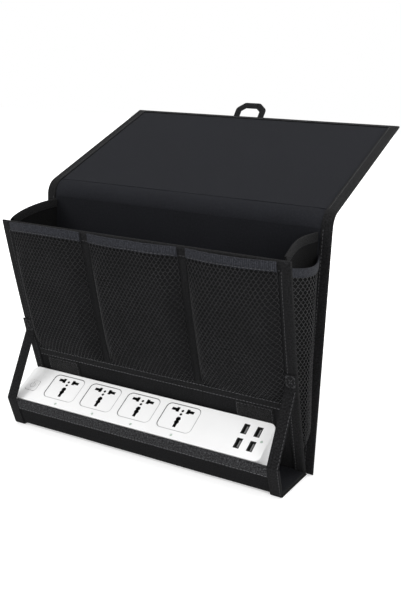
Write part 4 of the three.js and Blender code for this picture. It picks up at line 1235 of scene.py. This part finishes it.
def make_tray():
    half = TRAY_WIDTH / 2
    middle = -(STRAP_THICK + GAP) - HALF
    path, out = tray_path(middle, 4)
    length = float(np.linalg.norm(np.diff(path, axis=0), axis=1).sum())
    xs = lines(-half, half, 8, EDGE_LINES, EDGE_LINES)
    under, over = -HALF + 0.1, half + 0.3
    wrap = [(half - 4, under), (half - 0.4, under), (over, -0.9), (over, 0.9)]
    columns = [(-x, level) for x, level in wrap] + [(x, HALF) for x in xs] + wrap[::-1]
    rings = []
    for x, level in columns:
        swell = 0.1 * (1 + ripple(path[:, 0] * 2, path[:, 1] + x, 4)) if abs(x) < half - 1 else 0
        spots = path + out * np.reshape(level - swell, (-1, 1))
        rings.append(np.column_stack([np.full(len(path), x), spots]))
    face = Mesh().grid(np.stack(rings, 1))
    x, k = np.meshgrid(xs, np.arange(len(path)), indexing="ij")
    spots = path[k] + out[k] * (-HALF + 0.1 * ripple(x, path[k, 0], 3))[..., None]
    lining = Mesh().grid(np.concatenate([x[..., None], spots], -1))
    for mesh, name, material, slot, node, width in (
        (face, "tray_face_cloth", tray_cloth, "caddy_cloth", "tray_cover_outer",
         TRAY_WIDTH + 4 * HALF),
        (lining, "tray_lining_cloth", lining_cloth, "lining_cloth", "tray_cover_inner", TRAY_WIDTH),
    ):
        piece = mesh.make(name, "front", material, slot, node)

    lip_end = float(np.linalg.norm(tray_outer[2] - tray_outer[1])) + TAPE_REACH

    def lip_place(x, down, level):
        return wall_place(x, lip_end - down, level + middle)

    corners = [(-FIELD_EDGE, 0), (FIELD_EDGE, 0)]
    tape = bound_edge(lip_place, corners, [TAPE], 1, FULL_REACH)
    tape.make("lip_bound_edge", "front", lip_tape, "binding_tape", "tray_lip_tape")
    row = inset_path(corners, [TAPE], 1, LIP_ROW)
    rows = [(lip_place, row, level) for level in (FULL_REACH, -FULL_REACH)]
    # Pale stitches, partly a painted highlight along the lip tape's lit lower edge
    sew("lip_stitches", "front", rows, thread=pale_thread_and_highlight)


def make_floor_seam():
    """The rolled seam on the pocket's floor, over the slit between the tray and the back panel."""
    half = TRAY_WIDTH / 2 - 1
    x = np.arange(-half, half + 1, half / 14)
    (y, z), (deep, tall) = FLOOR_SEAM, FLOOR_SEAM_HALF
    seam = Mesh().tube([
        placed(x, y + deep * math.cos(t), z + tall * math.sin(t) * (1 + 0.1 * np.sin(x)))
        for t in np.linspace(0, 2 * math.pi, 8, endpoint=False)
    ])
    seam.make("pocket_floor_seam", "back", lining_cloth, "lining_cloth")


# Straps
def make_straps():
    half, middle = STRAP / 2, STRAP_THICK / 2
    sewn = HALF + TAPE_REACH + GAP + middle
    foot = front_length_at(BOTTOM + STRAP_TOP_HEIGHT)
    lift = np.array([[0, middle], [0.2, middle], wall_run * STRAP_LIP_RISE - wall_out * middle])
    ends = [front_place(0, foot + up, sewn)[1:] for up in (0, STRAP_SEWN)]
    path, out = bent_path([*(tray_outer + lift), *ends], 3, 4)
    profile = mirrored(STRAP_UPPER, STRAP) + mirrored(STRAP_LOWER, STRAP)[::-1]
    run = np.concatenate([[0], np.cumsum(np.linalg.norm(np.diff(path, axis=0), axis=1))])

    def strap_place(x, along, level):
        return placed(x, *(np.interp(along, run, path[:, k] + out[:, k] * level) for k in (0, 1)))

    for name, side in SIDES:
        centre = side * (FRONT_EDGE - half)
        strap = Mesh().tube([
            placed(centre - half + across, *(path + out * level).T)
            for across, level in profile
        ])
        strap.make(f"strap_{name}", "front", strap_webbing, "binding_tape", f"side_strap_{name}")
        from_side, from_end = STRAP_BOX
        box = box_path(centre, half - from_side, foot + from_end, foot + STRAP_SEWN - from_end)
        crossed = (box, [box[0], box[2]], [box[1], box[3]])
        level = sewn + middle + LAID_ON
        x = centre + side * (half - STRAP_ROW)
        start, end = STRAP_ROW_ENDS
        sew(f"strap_stitches_{name}", "front", [
            *((front_place, row, level) for row in crossed),
            (strap_place, [(x, start), (x, run[-1] - STRAP_SEWN - end)], middle),
        ])


# Gussets
gusset_back = -PANEL
gusset_level = -HALF - TAPE_REACH
gusset_foot_z = front_place(0, TAPE, 0)[2]
gusset_top_z = front_place(0, FRONT_LENGTH, gusset_level)[2]


def arch_z(a):
    """The arched top of a gusset, at a share from the back panel to the front."""
    return gusset_top_z + ARCH_RISE * (1 - a**ARCH_POWER)


def gusset_y(a, z):
    front = front_y(np.minimum(z, gusset_top_z), gusset_level)
    return gusset_back + a * (front - gusset_back)


def squash_side(piece):
    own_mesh(piece)


def make_gusset(name, side):
    a, b = np.meshgrid(np.linspace(0, 1, 15), np.linspace(0, 1, 34), indexing="ij")
    z = gusset_foot_z + b * (arch_z(a) - gusset_foot_z)
    y = gusset_y(a, z)
    bulge = np.sin(a * math.pi)
    inward = GUSSET_FOLD * bulge**2 * rise(b, 0.5)
    inward = inward + GUSSET_SWELL * rise(bulge, 1) * (1 + ripple(y * 1.5, z, 2))
    mesh = Mesh().shell(placed(side * (GUSSET_X - inward), y, z), GUSSET_THICK)
    cloth = mesh.make(f"side_wedge_{name}", "back", shaded_gusset_cloth, "caddy_cloth", f"gusset_{name}")
    squash_side(cloth)

    shares = np.linspace(0.02, 0.97, 16)
    tops = np.column_stack([gusset_y(shares, arch_z(shares)), arch_z(shares)])
    run = unit(np.gradient(tops, axis=0))
    down = np.stack([run[:, 1], -run[:, 0]], -1)
    down = down * np.sign(-down[:, 1:])
    fold = GUSSET_FOLD * np.sin(shares * math.pi) ** 2 + GUSSET_SWELL
    rings = []
    for depth_in, share, level in tape_profile(GUSSET_THICK / 2 + TAPE_REACH):
        spots = tops + down * (depth_in + share * GUSSET_TAPE - TAPE_REACH)
        rings.append(placed(side * (GUSSET_X - fold + level), *spots.T))
    tape = Mesh().grid(np.stack(rings, 1))
    squash_side(tape.make(
        f"wedge_bound_top_{name}", "back", binding_tape, "binding_tape", f"gusset_tape_{name}"
    ))


def make_side_pocket(name, side):
    foot = BOTTOM + SIDE_NET_FOOT
    top = front_top[1] - SIDE_BAND_DROP
    seat = SIDE_SEAT + TAPE_REACH + GAP

    def stand(a, z):
        return SIDE_STAND * np.sin(a * math.pi) * rise(z - foot, POCKET_FOOT_RUN)

    def surface(a, b):
        z = foot + b * (top - SIDE_BAND + 1 - foot) - smooth(b) * SIDE_BAND_SAG * sagging(a)
        return placed(side * (seat + stand(a, z) + NET_LIFT), gusset_y(a, z), z)

    width = abs(float(gusset_y(1, 0) - gusset_back))
    squash_side(make_net(
        f"side_pocket_net_{name}", "back", f"side_net_{name}", surface, width,
        top - SIDE_BAND - foot,
    ))
    a = np.linspace(0, 1, 26)
    rings = []
    for share, level in band_profile(SIDE_BAND, BAND_THICK):
        z = top - SIDE_BAND + share * SIDE_BAND
        x = side * (seat + stand(a, z) + level + gathers(a, share, SIDE_GATHERS))
        rings.append(placed(x, gusset_y(a, z), z - SIDE_BAND_SAG * sagging(a)))
    squash_side(Mesh().tube(rings).make(
        f"side_pocket_band_{name}", "back", elastic_band, "pocket_band", f"side_band_{name}"
    ))


def make_side_hems(name, side):
    """The hems that hold a side net's edges down on the gusset."""
    foot, top = gusset_foot_z + 1, front_top[1] - SIDE_BAND_DROP - SIDE_BAND
    low = SIDE_SEAT + LAID_ON
    over_net = TAPE_REACH + GAP + 1
    net_foot = BOTTOM + SIDE_NET_FOOT
    z = np.linspace(foot, top, 40)

    def thick(z):
        step = smooth((z - net_foot + HEM_STEP_UP) / HEM_STEP_UP)
        return HEM_THICK + (over_net - HEM_THICK) * step

    def front_hem(inset, z, level):
        return placed(side * (low + level), gusset_y(1, z) + inset, z)

    def back_hem(inset, z, level):
        return placed(side * (low + level), gusset_back - inset, z)

    for edge, hem_place in (("front", front_hem), ("back", back_hem)):
        rings = [
            hem_place(inset, z, thick(z) * share) for inset, share in mirrored(HEM_CROWN, HEM)
        ]
        hem = Mesh().grid(np.stack(rings, 1), caps=True)
        squash_side(hem.make(f"side_hem_{edge}_{name}", "back", shaded_gusset_cloth, "caddy_cloth"))

        def row_place(inset, z, level):
            return hem_place(inset, z, thick(z) + level)

        row = [(HEM / 2, foot + 1), (HEM / 2, top - 1)]
        squash_side(sew(f"side_hem_stitches_{edge}_{name}", "back", [(row_place, row, LAID_ON)]))


def make_hanging_loop():
    """The webbing loop on the flap's far edge, bent down from it."""
    leg, top = LOOP_SPAN / 2, LOOP_TOP_SPAN / 2
    left = [(-leg, -LOOP_SEWN), (-leg, LOOP_SHOULDER), (-top, LOOP_RISE)]
    corners = left + [(-x, v) for x, v in reversed(left)]
    path, out = bent_path([np.array(corner) for corner in corners], 2, LOOP_STEP)
    level = -HALF - SEAT - WEBBING_THICK / 2
    down, along = math.sin(LOOP_BEND), math.cos(LOOP_BEND)

    def webbing_place(x, v, lift):
        bent = v > 0
        run = np.where(bent, v * along - lift * down, v)
        drop = np.where(bent, lift * along + v * down, lift)
        return flap_place(LOOP_X + x, FLAP_LENGTH + run, level + drop)

    half, thick = WEBBING / 2, WEBBING_THICK / 2
    edge, edge_thick = half - WEBBING_EDGE[0], thick * WEBBING_EDGE[1]
    upper = [(-half, 0), (-edge, edge_thick), (0, thick), (edge, edge_thick)]
    mesh = Mesh().tube([
        webbing_place(*(path + out * across).T, lift)
        for across, lift in upper + [(-across, -lift) for across, lift in upper]
    ])
    mesh.make("hanging_webbing", "flap", strap_webbing, "binding_tape", "hanging_loop")


# The mains strip and what is in it keep their solids, with moulded finishes
def finish_strip():
    finishes = {
        white_shell: ("strip_lid", "strip_base"),
        board_green: ("usb_board",),
        light_lens: ("indicator_board",),
        switch_dark: ("switch_body",),
        brass: ("live_busbar", "earth_busbar", "neutral_busbar"),
        gland_grey: ("cord_gland",),
        button_white: ("power_button",),
        socket_white: [f"socket_insert_{k}" for k in range(1, 5)],
        usb_steel: [f"usb_port_{k}" for k in range(1, 5)],
        stiff_board: (
            "back_board", "flap_board", "front_board", "tray_base_board", "tray_wall_board",
        ),
    }
    for material, names in finishes.items():
        for name in names:
            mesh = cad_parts[name].data
            mesh.materials.clear()
            mesh.materials.append(material)


def make_button_mark():
    """The plain on-off mark: an open ring with a short bar in its gap."""
    strip_face = flat_surface(STRIP_FOOT[1:], strip_run, strip_out)
    x, up, level = BUTTON_PLACE
    x = x + STRIP_FOOT[0]
    half = MARK_WIDTH / 2
    profile = [(-half, 0), (-half * 0.7, MARK_LIFT), (half * 0.7, MARK_LIFT), (half, 0)]
    turns = np.linspace(math.pi / 2 + MARK_OPEN, 5 * math.pi / 2 - MARK_OPEN, 30)
    bar = up + MARK_RADIUS + np.array([-MARK_BAR / 2, MARK_BAR / 2])
    mark = Mesh().tube([
        strip_face(x + (MARK_RADIUS + d) * np.cos(turns), up + (MARK_RADIUS + d) * np.sin(turns),
                   level + lift)
        for d, lift in profile
    ])
    mark.tube([strip_face(x + d, bar, level + lift) for d, lift in profile])
    mark.make("button_mark", "power_button", mark_grey, "button_cap")


# Floor, lights, camera
FLOOR_SIZE = 12
FLOOR_SINK = 0.3
FLOOR_NEAR = 0.25
FLOOR_FAR = 0.9


def make_stage():
    floor = bpy.data.meshes.new("floor")
    half, z = FLOOR_SIZE / 2, (BOTTOM - FLOOR_SINK) * MM
    corners = [(-half, -half, z), (half, -half, z), (half, half, z), (-half, half, z)]
    floor.from_pydata(corners, [], [(0, 1, 2, 3)])
    graph = start_material("paper floor", 0.1, Roughness=0.9, Emission_Color=grey(1))
    paper = graph.noise(graph.on_body(), 3, 3)
    graph.link(graph.mix_colour(paper, grey(0.8), grey(0.84)), graph.shader.inputs["Base Color"])
    seen = graph.add("ShaderNodeLightPath").outputs["Is Camera Ray"]
    away = graph.add("ShaderNodeVectorMath", {0: graph.on_body()}, operation="LENGTH")
    glow = graph.spread(away.outputs["Value"], FLOOR_NEAR, FLOOR_FAR, 0.4, 1)
    graph.link(graph.times(seen, glow), graph.shader.inputs["Emission Strength"])
    floor.materials.append(graph.material)
    piece = bpy.data.objects.new("floor", floor)
    bpy.context.scene.collection.objects.link(piece)
    piece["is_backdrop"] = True

    world = bpy.data.worlds.new("studio")
    bpy.context.scene.world = world
    world.use_nodes = True
    graph = Graph(world.node_tree)
    seen = graph.add("ShaderNodeLightPath").outputs["Is Camera Ray"]
    background = world.node_tree.nodes["Background"]
    background.inputs["Color"].default_value = grey(1)
    graph.link(graph.spread(seen, 0, 1, 0.62, 1), background.inputs["Strength"])


def make_lamp(name, place, size, power):
    lamp = bpy.data.lights.new(name, "AREA")
    lamp.shape = "SQUARE"
    lamp.size = size
    lamp.energy = power
    piece = bpy.data.objects.new(name, lamp)
    piece.location = place
    piece.rotation_euler = (-Vector(place)).to_track_quat("-Z", "Y").to_euler()
    bpy.context.scene.collection.objects.link(piece)


def make_camera():
    turn, height, roll = CAMERA_AZIMUTH, CAMERA_HEIGHT, CAMERA_ROLL
    flat = Vector((math.sin(turn), -math.cos(turn), 0)) * math.cos(height)
    back = flat + Vector((0, 0, math.sin(height)))
    level_right = Vector((math.cos(turn), math.sin(turn), 0))
    level_up = back.cross(level_right)
    right = level_right * math.cos(roll) + level_up * math.sin(roll)
    up = level_up * math.cos(roll) - level_right * math.sin(roll)
    slide = right * CAMERA_SLIDE[0] + up * CAMERA_SLIDE[1]
    place = Vector(CAMERA_AIM) + back * CAMERA_DISTANCE + slide
    camera = bpy.data.cameras.new("camera")
    camera.lens = CAMERA_LENS
    camera.sensor_fit = "AUTO"
    camera.sensor_width = SENSOR
    camera.clip_start, camera.clip_end = CAMERA_CLIP
    piece = bpy.data.objects.new("camera", camera)
    bpy.context.scene.collection.objects.link(piece)
    turned = Matrix((right, up, back)).transposed().to_4x4()
    piece.matrix_world = Matrix.Translation(place * MM) @ turned
    bpy.context.scene.camera = piece


make_camera()
make_stage()
make_lamp("key", (-0.9, -1.1, 1.1), 0.9, 14)
make_lamp("fill", (1.2, -0.9, 0.5), 1.0, 12)
make_lamp("top", (0.1, 0.2, 1.4), 0.9, 8)
make_lamp("rim", (0.6, 1.2, 0.8), 0.8, 6)

make_back_panel()
make_flap()
make_fold()
make_front_panel()
make_pockets()
make_seams()
make_loop_pads()
make_hook_pads()
make_tray()
make_floor_seam()
make_straps()
for name, side in SIDES:
    make_gusset(name, side)
    make_side_pocket(name, side)
    make_side_hems(name, side)
make_hanging_loop()
finish_strip()
make_button_mark()

bpy.context.scene.view_settings.view_transform = "Standard"
boxes = {"cad": cad_box, "visual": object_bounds()}
{key: [[float(v) for v in corner] for corner in box] for key, box in boxes.items()}
